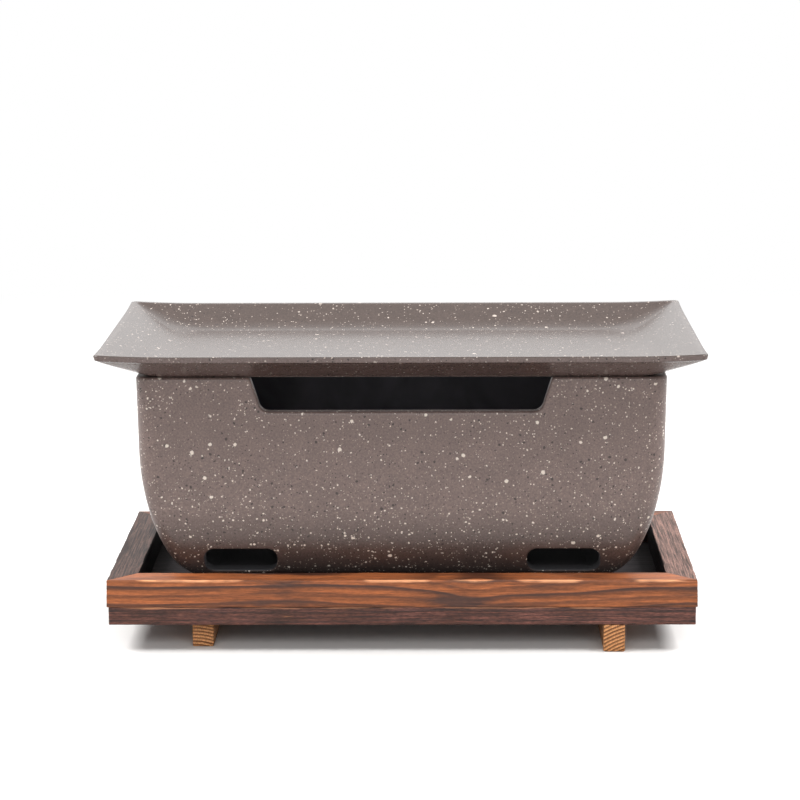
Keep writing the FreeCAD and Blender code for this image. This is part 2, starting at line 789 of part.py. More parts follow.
def add_lugs(body):
    """Lugs on the front and back walls, which carry the charcoal grate."""
    lugs = new_sketch(body, "lugs", lift="grate_level")
    wall_y = chamber_half(True, "grate_level")
    for x in (f"-{LUG_PLACE}", LUG_PLACE):
        for sign in ("-", ""):
            inner = f"{sign}({wall_y} - lug_reach)"
            outer = f"{sign}({wall_y} + lug_root)"
            add_polygon(
                lugs,
                [
                    (f"{x} - lug_length / 2", inner),
                    (f"{x} + lug_length / 2", inner),
                    (f"{x} + lug_length / 2", outer),
                    (f"{x} - lug_length / 2", outer),
                ],
            )
    add_pad(body, lugs, "lug_height", downwards=True)


def charcoal_grate():
    """A flat slotted steel grate that lies on the lugs inside the stove."""
    body = new_body("charcoal_grate")
    bind(body, "Placement.Base.z", f"{TRAY_FLOOR} + grate_level")
    half_length = f"({chamber_half(False, 'grate_level')} - grate_clearance)"
    half_width = f"({chamber_half(True, 'grate_level')} - grate_clearance)"
    outline = new_sketch(body, "outline")
    add_rounded_rectangle(outline, half_length, half_width, "grate_corner")
    add_pad(body, outline, "grate_thickness")

    slot = new_sketch(body, "slot")
    slot_half = f"(({half_width} - grate_border - grate_web / 2) / 2)"
    first_x = f"(grate_border + slot_width / 2 - {half_length})"
    first_y = f"(-(grate_web / 2 + {slot_half}))"
    add_slot(slot, first_x, first_y, slot_half)
    pocket = add_pocket(body, slot, "grate_thickness", upwards=True)
    rows = [
        ("X_Axis", f"-2 * {first_x}", SLOT_COLUMNS),
        ("Y_Axis", f"-2 * {first_y}", SLOT_ROWS),
    ]
    add_pattern(body, "slots", pocket, rows)


def add_slot(sketch, x, y, half_length):
    """A slot with round ends that runs front to back."""
    radius = number("slot_width / 2")
    middle = Vector(number(x), number(y), 0)
    reach = Vector(0, number(f"{half_length} - slot_width / 2"), 0)
    across = Vector(radius, 0, 0)
    far_circle = Part.Circle(middle + reach, UPRIGHT, radius)
    near_circle = Part.Circle(middle - reach, UPRIGHT, radius)
    right = sketch.addGeometry(
        Part.LineSegment(middle - reach + across, middle + reach + across)
    )
    far = sketch.addGeometry(Part.ArcOfCircle(far_circle, 0, math.pi))
    left = sketch.addGeometry(
        Part.LineSegment(middle + reach - across, middle - reach - across)
    )
    close = sketch.addGeometry(Part.ArcOfCircle(near_circle, math.pi, 2 * math.pi))
    loop = [right, far, left, close]
    for piece, following in zip(loop, loop[1:] + loop[:1]):
        sketch.addConstraint(Sketcher.Constraint("Tangent", piece, 2, following, 1))
    sketch.addConstraint(Sketcher.Constraint("Vertical", right))
    sketch.addConstraint(Sketcher.Constraint("Equal", far, close))
    index = sketch.addConstraint(Sketcher.Constraint("Radius", far, radius))
    bind(sketch, f"Constraints[{index}]", "slot_width / 2")
    pin_point(sketch, (far, 3), x, f"{y} + {half_length} - slot_width / 2")
    hold(sketch, "DistanceY", (close, 3), f"{y} - {half_length} + slot_width / 2")


# Grill plate


def side_edges(start, end, run, rise):
    """One side of a plate outline: straight in the middle and turned up at both ends.

    Each end is an arc that has a quarter of its rise at half its run, so it leaves the
    straight middle level.
    """
    turned = (end - start).normalize() * run
    inner_start, inner_end = start + turned, end - turned
    middle = Part.LineSegment(inner_start, inner_end).toShape()
    if rise == 0:
        return [
            Part.LineSegment(start, inner_start).toShape(),
            middle,
            Part.LineSegment(inner_end, end).toShape(),
        ]
    lift = Vector(0, 0, rise)
    return [
        Part.Arc(start + lift, start + turned / 2 + lift / 4, inner_start).toShape(),
        middle,
        Part.Arc(inner_end, end - turned / 2 + lift / 4, end + lift).toShape(),
    ]


def plate_outline(half_length, half_width, corner, height, rise):
    """A closed outline of the plate at one height: four sides joined by round corners."""
    x, y = half_length - corner, half_width - corner
    rim_sides = (
        number(f"{PLATE_LENGTH} - 2 * plate_rim_corner"),
        number(f"{PLATE_WIDTH} - 2 * plate_rim_corner"),
    )
    run = number("corner_run")
    sides = [
        (Vector(-x, -half_width, height), Vector(x, -half_width, height)),
        (Vector(half_length, -y, height), Vector(half_length, y, height)),
        (Vector(x, half_width, height), Vector(-x, half_width, height)),
        (Vector(-half_length, y, height), Vector(-half_length, -y, height)),
    ]
    centres = [(x, -y), (x, y), (-x, y), (-x, -y)]
    bisector = Vector(1, -1, 0).normalize()
    edges = []
    for turn, (start, end) in enumerate(sides):
        run_share = run / rim_sides[turn % 2]
        edges += side_edges(start, end, (end - start).Length * run_share, rise)
        next_start = sides[(turn + 1) % len(sides)][0]
        lift = Vector(0, 0, rise)
        centre = Vector(*centres[turn], height + rise)
        out = Rotation(UPRIGHT, turn * FULL_TURN / len(sides)).multVec(bisector)
        edges.append(
            Part.Arc(end + lift, centre + out * corner, next_start + lift).toShape()
        )
    return Part.Wire(edges)


def grill_plate():
    """The dished plate, its rim turned up at the corners.

    The skin is a closed shell of bands between outlines, with locating pegs fused on below.
    """
    length = number(f"{PLATE_LENGTH} / 2")
    width = number(f"{PLATE_WIDTH} / 2")
    height = number("plate_height")
    flare = number("plate_flare")
    rise = number("corner_rise")
    rim_corner = number("plate_rim_corner")
    base_corner = number("plate_base_corner")
    floor_corner = number("plate_floor_corner")
    easing = number("plate_edge_round")
    edge_foot = number("plate_height - plate_edge")
    lean = number("plate_edge_lean")
    land = number("plate_land")
    floor = number("plate_thickness")
    floor_foot = number("plate_flare + plate_floor_inset")
    hollow = number("plate_floor_round")
    base_round = number("plate_base_round")
    slope = (height - floor) / (floor_foot - land)

    def outline(inset, level, corner, rising):
        return plate_outline(length - inset, width - inset, corner, level, rise * rising)

    base = outline(flare + base_round, 0, base_corner - base_round, 0)
    base_edge = outline(flare - base_round, base_round * edge_foot / flare, base_corner, 0)
    edge_low = outline(lean, edge_foot, rim_corner, 1)
    edge_high = outline(0, height - easing, rim_corner, 1)
    top_outer = outline(easing, height, rim_corner - easing / 2, 1)
    top_inner = outline(land - easing, height, rim_corner, 1)
    side_top = outline(land + easing, height - easing, rim_corner + easing, 1)
    hollow_top_level = floor + hollow * slope
    hollow_share = (floor_foot - hollow - land) / (floor_foot - land)
    side_foot = outline(
        floor_foot - hollow, hollow_top_level, floor_corner * hollow_share, 1 - hollow_share
    )
    hollow_middle = outline(floor_foot, floor + hollow * slope / 4, floor_corner, 0)
    floor_edge = outline(floor_foot + hollow, floor, floor_corner, 0)

    skin = [Part.Face(base), Part.Face(floor_edge)]
    for first, second in (
        (base, base_edge),
        (base_edge, edge_low),
        (edge_low, edge_high),
        (edge_high, top_outer),
        (top_outer, top_inner),
        (top_inner, side_top),
        (side_top, side_foot),
    ):
        skin += Part.makeLoft([first, second], False, True).Faces
    skin += Part.makeLoft([side_foot, hollow_middle, floor_edge], False, False).Faces
    dish = Part.makeSolid(Part.makeShell(skin))

    peg_x = number("stove_length / 2 - stove_wall - peg_clearance - peg_diameter / 2")
    peg_y = number("stove_width / 2 - stove_wall - peg_clearance - peg_diameter / 2")
    radius = number("peg_diameter / 2")
    drop = number("peg_height")
    pegs = [
        Part.makeCylinder(radius, drop + floor / 2, Vector(x, y, -drop))
        for x in (-peg_x, peg_x)
        for y in (-peg_y, peg_y)
    ]

    feature = doc.addObject("Part::Feature", "grill_plate")
    feature.Label = "grill_plate"
    feature.Shape = dish.fuse(pegs)
    feature.Placement = Placement(Vector(0, 0, number(RIM_LEVEL)), Rotation())
    parts.append(feature)


base_board()
mitred_rail("front_rail", TRAY_LENGTH, TRAY_WIDTH, LONG_NAIL_SHARES, 0)
mitred_rail("right_rail", TRAY_WIDTH, TRAY_LENGTH, SHORT_NAIL_SHARES, FULL_TURN / 4)
mitred_rail("back_rail", TRAY_LENGTH, TRAY_WIDTH, LONG_NAIL_SHARES, FULL_TURN / 2)
mitred_rail("left_rail", TRAY_WIDTH, TRAY_LENGTH, SHORT_NAIL_SHARES, -FULL_TURN / 4)
bearer("left")
bearer("right")
bearer_screws()
frame_nails()
stove_body()
charcoal_grate()
grill_plate()
doc.recompute()

for item in doc.Objects:
    if "Invalid" in item.State or "Error" in item.State:
        raise RuntimeError(f"{item.Label} did not compute: {item.State}")
for item in parts:
    if item.Shape.isNull() or not item.Shape.isValid():
        raise RuntimeError(f"{item.Label} has no valid shape")

os.makedirs("parts", exist_ok=True)
for item in parts:
    item.Shape.exportStep(f"parts/{item.Label}.step")
    print(item.Label, round(item.Shape.Volume), item.Shape.BoundBox)
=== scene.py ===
"""Looks of a portable barbecue grill: a cast stove in a wooden tray, with a dished plate on top.

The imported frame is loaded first. The first operator sets the stage: camera, floor, lamps and
white surroundings. Each of the others dresses one piece or group of like pieces.
"""

import math
from functools import partial

import bmesh
import bpy
from bpy.props import FloatProperty, FloatVectorProperty, PointerProperty
from bpy.types import Node, NodeSocket, Operator, Panel, PropertyGroup
from mathutils import Matrix, Vector, noise


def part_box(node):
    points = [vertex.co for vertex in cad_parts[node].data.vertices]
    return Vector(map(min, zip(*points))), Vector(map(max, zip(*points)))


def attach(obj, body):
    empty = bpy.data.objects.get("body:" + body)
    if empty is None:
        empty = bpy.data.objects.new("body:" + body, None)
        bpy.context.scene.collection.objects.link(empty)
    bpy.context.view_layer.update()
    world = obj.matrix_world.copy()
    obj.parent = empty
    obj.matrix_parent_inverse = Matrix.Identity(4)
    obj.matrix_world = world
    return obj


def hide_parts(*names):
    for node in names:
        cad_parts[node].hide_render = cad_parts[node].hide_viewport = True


bl_info = {
    "name": "Portable Barbecue Grill",
    "version": (1, 0, 0),
    "blender": (4, 5, 0),
    "location": "View3D > Sidebar > Grill",
    "description": "Dresses a small charcoal grill: cast stove, dished plate and wooden tray",
    "category": "Object",
}

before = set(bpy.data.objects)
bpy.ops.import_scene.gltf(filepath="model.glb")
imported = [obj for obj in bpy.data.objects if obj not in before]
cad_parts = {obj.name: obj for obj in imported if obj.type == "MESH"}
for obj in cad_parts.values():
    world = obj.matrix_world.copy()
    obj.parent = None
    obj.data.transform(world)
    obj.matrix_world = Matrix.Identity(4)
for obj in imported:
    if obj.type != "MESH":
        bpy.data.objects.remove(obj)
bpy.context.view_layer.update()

MM = 0.001
QUARTER = math.pi / 2
# Edges of a combined mesh that bend by more than this are drawn sharp.
SHARP = math.radians(40)
# From one timber's seed to the next, in metres along the grain: more than a timber's length.
SEED_STEP = 0.37

# Each rail: node, quarter turns from the front, seed, pith (mm, turned with the rail), dips in
# the grain (middle, half width, drop), lengths of the top arris that are rubbed bare and carry a
# painted highlight, scorched spots (middle along and up, half length, half height), share of char
# and tone.
RAILS = (
    ("front_rail", 0, 1, (-44, -22), ((28, 13, 3.5), (48, 34, 2)),
     ((-104, -62), (-14, 11), (20, 36), (46, 70), (92, 113)),
     ((-56, 19.5, 20, 2.6), (16, 19.5, 26, 3.2), (100, 19, 14, 2)), 0.4, 0.85),
    ("right_rail", 1, 2, (-100, -30), (), (), (), 0.2, 1.05),
    ("back_rail", 2, 3, (-44, -26), ((-40, 18, 4),), ((-80, -40), (20, 60)),
     ((60, 20, 22, 3),), 0.45, 0.98),
    ("left_rail", 3, 4, (-98, -30), (), (), (), 0.5, 0.37),
)
# Each bearer: node, seed and pith (mm, turned with the bearer).
BEARERS = (
    ("left_bearer", 11, (82.8, -24.5)),
    ("right_bearer", 12, (-100, -31)),
)
# Patterns in the pine: length along the grain and width across it (mm), detail and roughness.
PINE_PATTERNS = {
    "drift": (200 / 3, 20, 2.0, 0.35),
    "fibre": (50 / 3, 2 / 3, 3.0, 0.6),
    "patches": (100 / 3, 100 / 13, 4.0, 0.6),
    "pores": (50 / 21, 5 / 13, 2.0, 0.6),
}
# Each lamp: name, place, width, height (m) and power (W). All look at the grill's middle.
LAMPS = (
    ("overhead", (0, -0.3, 1.4), 1.2, 0.8, 2),
    ("front", (0, -1.65, 1.0), 1.8, 0.6, 11),
    ("fill", (0, -2.0, 0.4), 2.2, 0.6, 4),
    ("back", (0, 1.7, 0.65), 2.2, 0.5, 2.4),
    ("left_side", (-1.15, 0, 1.3), 1.4, 0.7, 34),
    ("right_side", (1.15, 0, 1.3), 1.4, 0.7, 36),
)
GRILL_MIDDLE = Vector((0, 0, 0.06))


def linear(code):
    """An sRGB hex colour as linear red, green, blue and full alpha."""
    parts = [int(code[place : place + 2], 16) / 255 for place in (1, 3, 5)]
    values = [
        part / 12.92 if part <= 0.04045 else ((part + 0.055) / 1.055) ** 2.4 for part in parts
    ]
    return (*values, 1.0)


def length(name, description, default):
    """A property that holds a length, its default in millimetres."""
    return FloatProperty(
        name=name, description=description, default=default * MM, unit="LENGTH", precision=4
    )


def share(name, description, default):
    """A property that holds a share between nothing and all."""
    return FloatProperty(
        name=name, description=description, default=default, min=0, max=1, subtype="FACTOR"
    )


def angle(name, description, default):
    """A property that holds an angle, its default in degrees."""
    return FloatProperty(
        name=name, description=description, default=math.radians(default), subtype="ANGLE"
    )


def colour(name, description, code):
    """A property that holds a colour, its default as sRGB hex."""
    return FloatVectorProperty(
        name=name, description=description, default=linear(code), size=4, min=0, max=1,
        subtype="COLOR",
    )


class CoatSettings(PropertyGroup):
    """The speckled stone coat on both castings."""

    stove_ground: colour("Stove Ground", "Taupe ground of the stove's coat", "#74635E")
    # Painted shade: the plate's cooking side gets a darker ground than its edge and back, against
    # its strong sheen.
    shaded_plate_ground: colour("Plate Ground", "Taupe ground of the plate's cooking side", "#463A35")
    plate_outside: colour("Plate Outside", "Taupe ground of the plate's edge and back", "#695955")
    pale_fleck: colour("Pale Fleck", "Cream chips in the stove's coat", "#E8DED2")
    plate_fleck: colour("Plate Fleck", "Cream chips in the plate's coat", "#BFB2A8")
    dull_fleck: colour("Dull Fleck", "Chips that lie under the coat's surface", "#A89A90")
    dark_fleck: colour("Dark Fleck", "Dark chips in the coat", "#352B29")
    soot: colour("Soot", "Dark grey soot on the inner walls", "#75737A")
    ash: colour("Ash Floor", "Black of the vents and the ash floor", "#343336")
    chip_size: length("Chip Size", "Width of the largest chips", 1.2)
    speck_size: length("Speck Size", "Width of the common specks", 0.66)
    grain_size: length("Grain Size", "Width of the finest grain", 0.45)
    wobble_size: length("Wobble Size", "Width of the waves that bend the flecks", 1.2)
    wobble: length("Wobble", "How far those waves shift a fleck's edge", 0.9)
    cloud_size: length("Cloud Size", "Width of the soft clouds in the coat", 9)
    peel_size: length("Peel Size", "Width of the orange peel", 2.2)
    smoke_size: length("Smoke Size", "Width of the clouds in the soot", 25)
    # Painted shade: the stove's coat grows darker from the clear level down to the brown level.
    foot_shade_level: length("Brown Level", "Level up to which the stove's foot is browned", 32)
    clear_level: length("Clear Level", "Level where the browning ends", 60)
    ash_level: length("Ash Level", "Level up to which the inside is black", 42)
    soot_level: length("Soot Level", "Level from which the inside is sooty", 60)
    # Painted shade: how bright the coat is left at the stove's foot.
    foot_shade: share("Browning", "Brightness of the coat at the stove's foot", 0.4)
    plate_flecks: share("Plate Flecks", "The plate's flecks as a share of the stove's", 0.42)
    stove_gloss: share("Stove Roughness", "Roughness of the coat on the stove", 0.38)
    plate_gloss: share("Plate Roughness", "Roughness of the coat on the plate", 0.25)
    soot_gloss: share("Soot Roughness", "Roughness of the soot and ash", 0.85)


class PlateSettings(PropertyGroup):
    """The shape of the dished plate. Its outer size comes from the frame."""

    flare: length("Flare", "How far the rim stands out past the base", 17.6)
    floor: length("Floor", "Thickness of the plate's floor", 3)
    edge: length("Edge", "Height of the rim's outer edge", 2.3)
    lean: length("Edge Lean", "How far the edge leans out", 0.3)
    bow: length("Side Bow", "How far the flared side bows in", 0.35)
    easing: length("Easing", "Rounding of the rim's edges", 0.6)
    land: length("Land", "Width of the rim's flat top", 2.5)
    floor_inset: length("Floor Inset", "From the base's outline in to the floor", 3.6)
    hollow: length("Hollow", "Half width of the curve between side and floor", 6.5)
    base_round: length("Base Rounding", "Rounding under the plate", 0.6)
    rim_corner: length("Rim Corner", "Corner radius of the rim", 2)
    base_corner: length("Base Corner", "Corner radius of the base", 8)
    floor_corner: length("Floor Corner", "Corner radius of the floor", 14)
    rise: length("Corner Rise", "How far the corners turn up", 0.8)
    run: length("Corner Run", "Length of side that turns up", 28)
    peg_width: length("Peg Width", "Diameter of the pegs below", 5)
    peg_drop: length("Peg Drop", "How far the pegs reach down", 2.5)
    peg_easing: length("Peg Easing", "Rounding of a peg's foot", 0.3)
    peg_x: length("Peg X", "Middle of the pegs along the plate", 95.4)
    peg_y: length("Peg Y", "Middle of the pegs across the plate", 43.3)


class TimberSettings(PropertyGroup):
    """The scorched and brushed pine of the tray."""

    early: colour("Early Wood", "Soft wood between the rings", "#B1663A")
    late: colour("Late Wood", "Hard, darker ring lines", "#44261A")
    side_early: colour("Side Early Wood", "Soft wood of the two short rails", "#7D6056")
    side_late: colour("Side Late Wood", "Ring lines of the two short rails", "#463532")
    char: colour("Char", "Wood that the flame has blackened", "#482A1F")
    # Worn: bare wood of rubbed arrises, made light enough to be a painted highlight as well.
    worn_and_highlit: colour("Worn", "Arrises rubbed back to bare wood", "#F0A878")
    end_early: colour("End Early Wood", "Soft wood on sawn ends", "#E2A26C")
    end_late: colour("End Late Wood", "Ring lines on sawn ends", "#4E2410")
    board: colour("Board", "Stained wood between the board's dark lines", "#72483E")
    stain: colour("Stain", "Ring lines of the stained board", "#3E2A27")
    # Near black given to the board's top and the rails' inner faces.
    tray_black: colour("Tray Black", "Black stain inside the tray", "#241E20")
    ring: length("Ring", "Distance between growth rings", 3.2)
    close_ring: length("Close Ring", "Distance between the bearers' growth rings", 1.35)
    arris: length("Arris", "Rounding of the rails' edges", 0.9)
    board_arris: length("Board Arris", "Rounding of the board's edges", 0.5)
    bearer_arris: length("Bearer Arris", "Rounding of the bearers' edges", 0.6)
    brush: length("Brush", "Depth of the deepest brushed furrows", 0.22)
    sway: length("Sway", "How far the rails' outer faces wander in", 0.35)
    step: length("Step", "Spacing of the mesh along the grain", 1.5)
    # The board's rubbed front arris also carries a painted highlight.
    board_wear_and_highlight: share("Board Wear", "How far the board's front arris is rubbed", 0.28)


class HoleSettings(PropertyGroup):
    """The holes for the tray's screws and nails."""

    screw: length("Screw", "Diameter of a screw's shank", 3)
    screw_head: length("Screw Head", "Diameter of a screw's head", 5.6)
    screw_sink: length("Screw Sink", "How deep a screw's head lies in its bearer", 0.5)
    nail: length("Nail", "Diameter of a nail's shank", 1.6)
    nail_head: length("Nail Head", "Diameter of a nail's head", 3.2)
    nail_head_height: length("Nail Head Height", "Height of a nail's head", 0.8)
    room: length("Room", "Room round a fastener and past its tip", 0.1)
    overrun: length("Overrun", "How far a hole's tool starts below the wood", 1)


class StageSettings(PropertyGroup):
    """Camera and light."""

    lens: FloatProperty(
        name="Lens", description="Focal length on a 36 mm sensor", default=121.5, unit="CAMERA"
    )
    place: FloatVectorProperty(
        name="Camera Place", description="Where the camera stands",
        default=(0.0150, -1.0775, 0.2996), subtype="TRANSLATION", precision=4,
    )
    pitch: angle("Pitch", "How far the camera looks down", 11.04)
    yaw: angle("Yaw", "How far the camera turns to its left", 0.86)
    roll: angle("Roll", "How far the camera leans", -0.27)
    room: share("Room Light", "Even light from all around", 0.34)
    gain: share("Floor Gain", "How bright the floor looks, as a share of its colour", 0.94)
    floor: colour("Floor", "Pale studio floor", "#F8F6F4")
    bounce: colour("Bounce", "What the floor throws back on the object", "#8A8683")
    radius: length("Floor Radius", "How far the floor reaches", 12000)
    fade_start: length("Fade Start", "Where the floor starts to run out into white", 350)
    fade_end: length("Fade End", "Where the floor is all white", 900)


def add_node(tree, kind, inputs=None, **settings):
    """Adds a node. Each input is given a value, or what feeds it: a socket, or a node, which
    stands for its first output.
    """
    node = tree.nodes.new("ShaderNode" + kind)
    for name, value in settings.items():
        setattr(node, name, value)
    for key, value in (inputs or {}).items():
        if isinstance(value, Node):
            value = value.outputs[0]
        if isinstance(value, NodeSocket):
            tree.links.new(value, node.inputs[key])
        else:
            node.inputs[key].default_value = value
    return node


def emptied(owner):
    """Clears the node tree of a material or world. Gives add_node, tied to that tree."""
    owner.use_nodes = True
    owner.node_tree.nodes.clear()
    return partial(add_node, owner.node_tree)


def finish_material(add, inputs):
    """Adds the surface shader with these inputs and joins it to the output."""
    add("OutputMaterial", {"Surface": add("BsdfPrincipled", inputs)})


def new_object(name, content):
    """Adds an object that shows a mesh, lamp or camera to the scene."""
    thing = bpy.data.objects.new(name, content)
    bpy.context.scene.collection.objects.link(thing)
    return thing


def skin(name, rings):
    """A closed, smooth mesh over rings of equally many points, both ends filled."""
    mesh = bpy.data.meshes.new(name)
    form = bmesh.new()
    rows = [[form.verts.new(point) for point in ring] for ring in rings]
    for lower, upper in zip(rows, rows[1:]):
        for place in range(len(lower)):
            after = (place + 1) % len(lower)
            form.faces.new((lower[place], lower[after], upper[after], upper[place]))
    form.faces.new(rows[0])
    form.faces.new(rows[-1])
    bmesh.ops.recalc_face_normals(form, faces=form.faces)
    for face in form.faces:
        face.smooth = True
    form.to_mesh(mesh)
    form.free()
    return mesh


def show_piece(name, mesh, body, node, material):
    """Shows a finished mesh in place of a CAD node."""
    piece = new_object(name, mesh)
    mesh.materials.append(material)
    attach(piece, body)
    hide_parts(node)


def coat_node(node, material):
    """Gives a CAD node that keeps its shape its own material."""
    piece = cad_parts[node]
    piece.data.materials.clear()
    piece.data.materials.append(material)


def add_flecks(add, point, size, wanted, under, over):
    """Scatters flecks of one size and colour over a colour. Gives the colour and their mask.

    Voronoi cells are about twice as wide as the flecks. A cell's random red says whether it
    holds a fleck at all, and its random green how large that fleck is.
    """
    cells = add("TexVoronoi", {"Vector": point, "Scale": 1 / (2 * size), "Randomness": 1.0})
    chance = add("SeparateColor", {"Color": cells.outputs["Color"]})
    held = add("Math", {0: chance.outputs[0], 1: wanted}, operation="LESS_THAN")
    radius = add("MapRange", {"Value": chance.outputs[1], "To Min": 0.12, "To Max": 0.42})
    core = add("Math", {0: radius, 1: 0.7}, operation="MULTIPLY")
    inside = add(
        "MapRange", {"Value": cells.outputs["Distance"], "From Min": radius, "From Max": core}
    )
    mask = add("Math", {0: inside, 1: held}, operation="MULTIPLY")
    mixed = add("Mix", {"Factor": mask, 6: under, 7: over}, data_type="RGBA")
    return mixed.outputs[2], mask


def stone_coat(name, coat, on_stove):
    """Baked stone-effect coat on cast aluminium: a satin taupe ground full of small cream and
    dark chips, with the slight orange peel of a sprayed and cured coat. On the stove the coat is
    darker towards the foot, which is painted shade, and inside it gives way to dark grey soot. On
    the plate, faces that look up get a darker ground than its edge and back, which is painted
    shade against the strong sheen on its cooking side.
    """
    material = bpy.data.materials.new(name)
    add = emptied(material)
    place = add("TexCoord").outputs["Object"]
    normal = add("NewGeometry").outputs["Normal"]
    level = add("SeparateXYZ", {0: place}).outputs[2]
    upward = add("SeparateXYZ", {0: normal}).outputs[2]

    # Places are shifted a little, so that no fleck is a plain disc.
    waves = add("TexNoise", {"Vector": place, "Scale": 1 / coat.wobble_size, "Detail": 1.0})
    centred = add("VectorMath", {0: waves.outputs["Color"], 1: (0.5,) * 3}, operation="SUBTRACT")
    point = add(
        "VectorMath", {0: centred, 1: (coat.wobble,) * 3, 2: place}, operation="MULTIPLY_ADD"
    )

    cloudy, grainy = [
        add(
            "MapRange",
            {
                "Value": add(
                    "TexNoise",
                    {"Vector": place, "Scale": 1 / size, "Detail": detail, "Roughness": rough},
                ),
                "From Min": 0.5 - spread, "From Max": 0.5 + spread,
                "To Min": 1 - change, "To Max": 1 + change,
            },
        )
        for size, detail, rough, spread, change in (
            (coat.cloud_size, 4.0, 0.6, 0.15, -0.07),
            (1.6 * coat.grain_size, 2.0, 0.7, 0.25, 0.38),
        )
    ]
    shade = add("Math", {0: cloudy, 1: grainy}, operation="MULTIPLY")
    if on_stove:
        # Painted shade: the coat grows darker towards the stove's foot.
        foot_shading = add(
            "MapRange",
            {
                "Value": level, "From Min": coat.foot_shade_level, "From Max": coat.clear_level,
                "To Min": coat.foot_shade,
            },
            interpolation_type="SMOOTHSTEP",
        )
        shade = add("Math", {0: shade, 1: foot_shading}, operation="MULTIPLY")
        ground, pale = coat.stove_ground[:3], coat.pale_fleck
        amount, gloss = 1.0, coat.stove_gloss
    else:
        # Painted shade: faces that look up get the darker ground, faces that look down or out the
        # lighter.
        outside = add("MapRange", {"Value": upward, "From Min": 0.4, "From Max": 0.0})
        ground = add(
            "Mix",
            {"Factor": outside, 6: coat.shaded_plate_ground, 7: coat.plate_outside},
            data_type="RGBA",
        ).outputs[2]
        pale, amount, gloss = coat.plate_fleck, coat.plate_flecks, coat.plate_gloss
    coated = add("VectorMath", {0: ground, "Scale": shade}, operation="SCALE")
    for size, wanted, tone in (
        (coat.grain_size, 0.3, coat.dull_fleck),
        (coat.grain_size * 1.3, 0.2, coat.dark_fleck),
        (coat.grain_size * 0.9, 0.1, pale),
        (coat.speck_size * 1.2, 0.08, coat.dark_fleck),
        (coat.speck_size, 0.14, pale),
        (coat.chip_size, 0.045, pale),
    ):
        coated, chips = add_flecks(add, point, size, wanted * amount, coated, tone)

    # The largest chips, the last ones, stand slightly proud of the orange peel.
    peel = add("TexNoise", {"Vector": place, "Scale": 1 / coat.peel_size, "Detail": 3.0})
    raised = add("Math", {0: chips, 1: 0.5, 2: peel}, operation="MULTIPLY_ADD")
    bump = add("Bump", {"Height": raised, "Strength": 0.35, "Distance": 0.12 * MM})
    if on_stove:
        inside = stove_inside(add, place, normal, level, upward)
        above_ash = add(
            "MapRange", {"Value": level, "From Min": coat.ash_level, "From Max": coat.soot_level}
        )
        smoke = add(
            "TexNoise",
            {"Vector": place, "Scale": 1 / coat.smoke_size, "Detail": 4.0, "Distortion": 0.6},
        )
        smoky = add(
            "MapRange",
            {"Value": smoke, "From Min": 0.3, "From Max": 0.7, "To Min": 1.25, "To Max": 0.6},
        )
        sooty = add("VectorMath", {0: coat.soot[:3], "Scale": smoky}, operation="SCALE")
        burnt = add(
            "Mix", {"Factor": above_ash, 6: coat.ash, 7: sooty}, data_type="RGBA"
        ).outputs[2]
        coated = add("Mix", {"Factor": inside, 6: coated, 7: burnt}, data_type="RGBA").outputs[2]
        gloss = add("MapRange", {"Value": inside, "To Min": gloss, "To Max": coat.soot_gloss})
    finish_material(add, {"Base Color": coated, "Roughness": gloss, "IOR": 1.5, "Normal": bump})
    return material


def stove_inside(add, place, normal, level, upward):
    """One on the stove's inside faces and nothing on its outside, from place and normal.

    The long walls face the middle across the stove, its corners and ends face the middle more
    strongly than a fire window's ends do, and the ash floor and lugs are low and face up or in.
    """
    outward = add("VectorMath", {0: place, 1: normal}, operation="MULTIPLY")
    along, across, _ = add("SeparateXYZ", {0: outward}).outputs
    around = add("Math", {0: along, 1: across}, operation="ADD")
    long_wall, end_wall, inward, low = [
        add("Math", {0: value, 1: limit * MM}, operation="LESS_THAN")
        for value, limit in ((across, -30), (around, -80), (around, -1), (level, 60))
    ]
    faces_up = add("Math", {0: upward, 1: 0.3}, operation="GREATER_THAN")
    wall = add("Math", {0: long_wall, 1: end_wall}, operation="MAXIMUM")
    up_or_in = add("Math", {0: inward, 1: faces_up}, operation="MAXIMUM")
    low_face = add("Math", {0: up_or_in, 1: low}, operation="MULTIPLY")
    return add("Math", {0: wall, 1: low_face}, operation="MAXIMUM")


class GRILL_OT_stove(Operator):
    """Coats the cast stove, which keeps its CAD shape."""

    bl_idname = "grill.stove"
    bl_label = "Stove"

    def execute(self, context):
        coat_node("stove_body", stone_coat("stone_coat_on_stove", context.scene.grill_coat, True))
        return {"FINISHED"}


def rounded_ring(half_x, half_y, corner, level, lift):
    """Points of a rounded rectangle at a level. lift gives the extra height at a point."""
    side_steps, arc_steps = (44, 26), 9
    corner = min(corner, 0.9 * half_y)
    centres = [
        Vector((x * (half_x - corner), y * (half_y - corner)))
        for x, y in ((-1, -1), (1, -1), (1, 1), (-1, 1))
    ]
    ring = []
    for turn, start in enumerate(centres):
        end = centres[(turn + 1) % 4]
        bends = [QUARTER * (turn - 1) + QUARTER * step / arc_steps for step in range(arc_steps)]
        arc = [Vector((math.cos(bend), math.sin(bend))) * corner for bend in bends]
        steps = side_steps[turn % 2]
        ring += [(start + arc[0]).lerp(end + arc[0], step / steps) for step in range(steps)]
        ring += [end + out for out in arc]
    return [Vector((spot.x, spot.y, level + lift(spot.x, spot.y))) for spot in ring]


def turn_steps(turn, steps):
    """Sine and cosine at even steps through a turn, with both ends."""
    bends = [turn * step / steps for step in range(steps + 1)]
    return [(math.sin(bend), math.cos(bend)) for bend in bends]


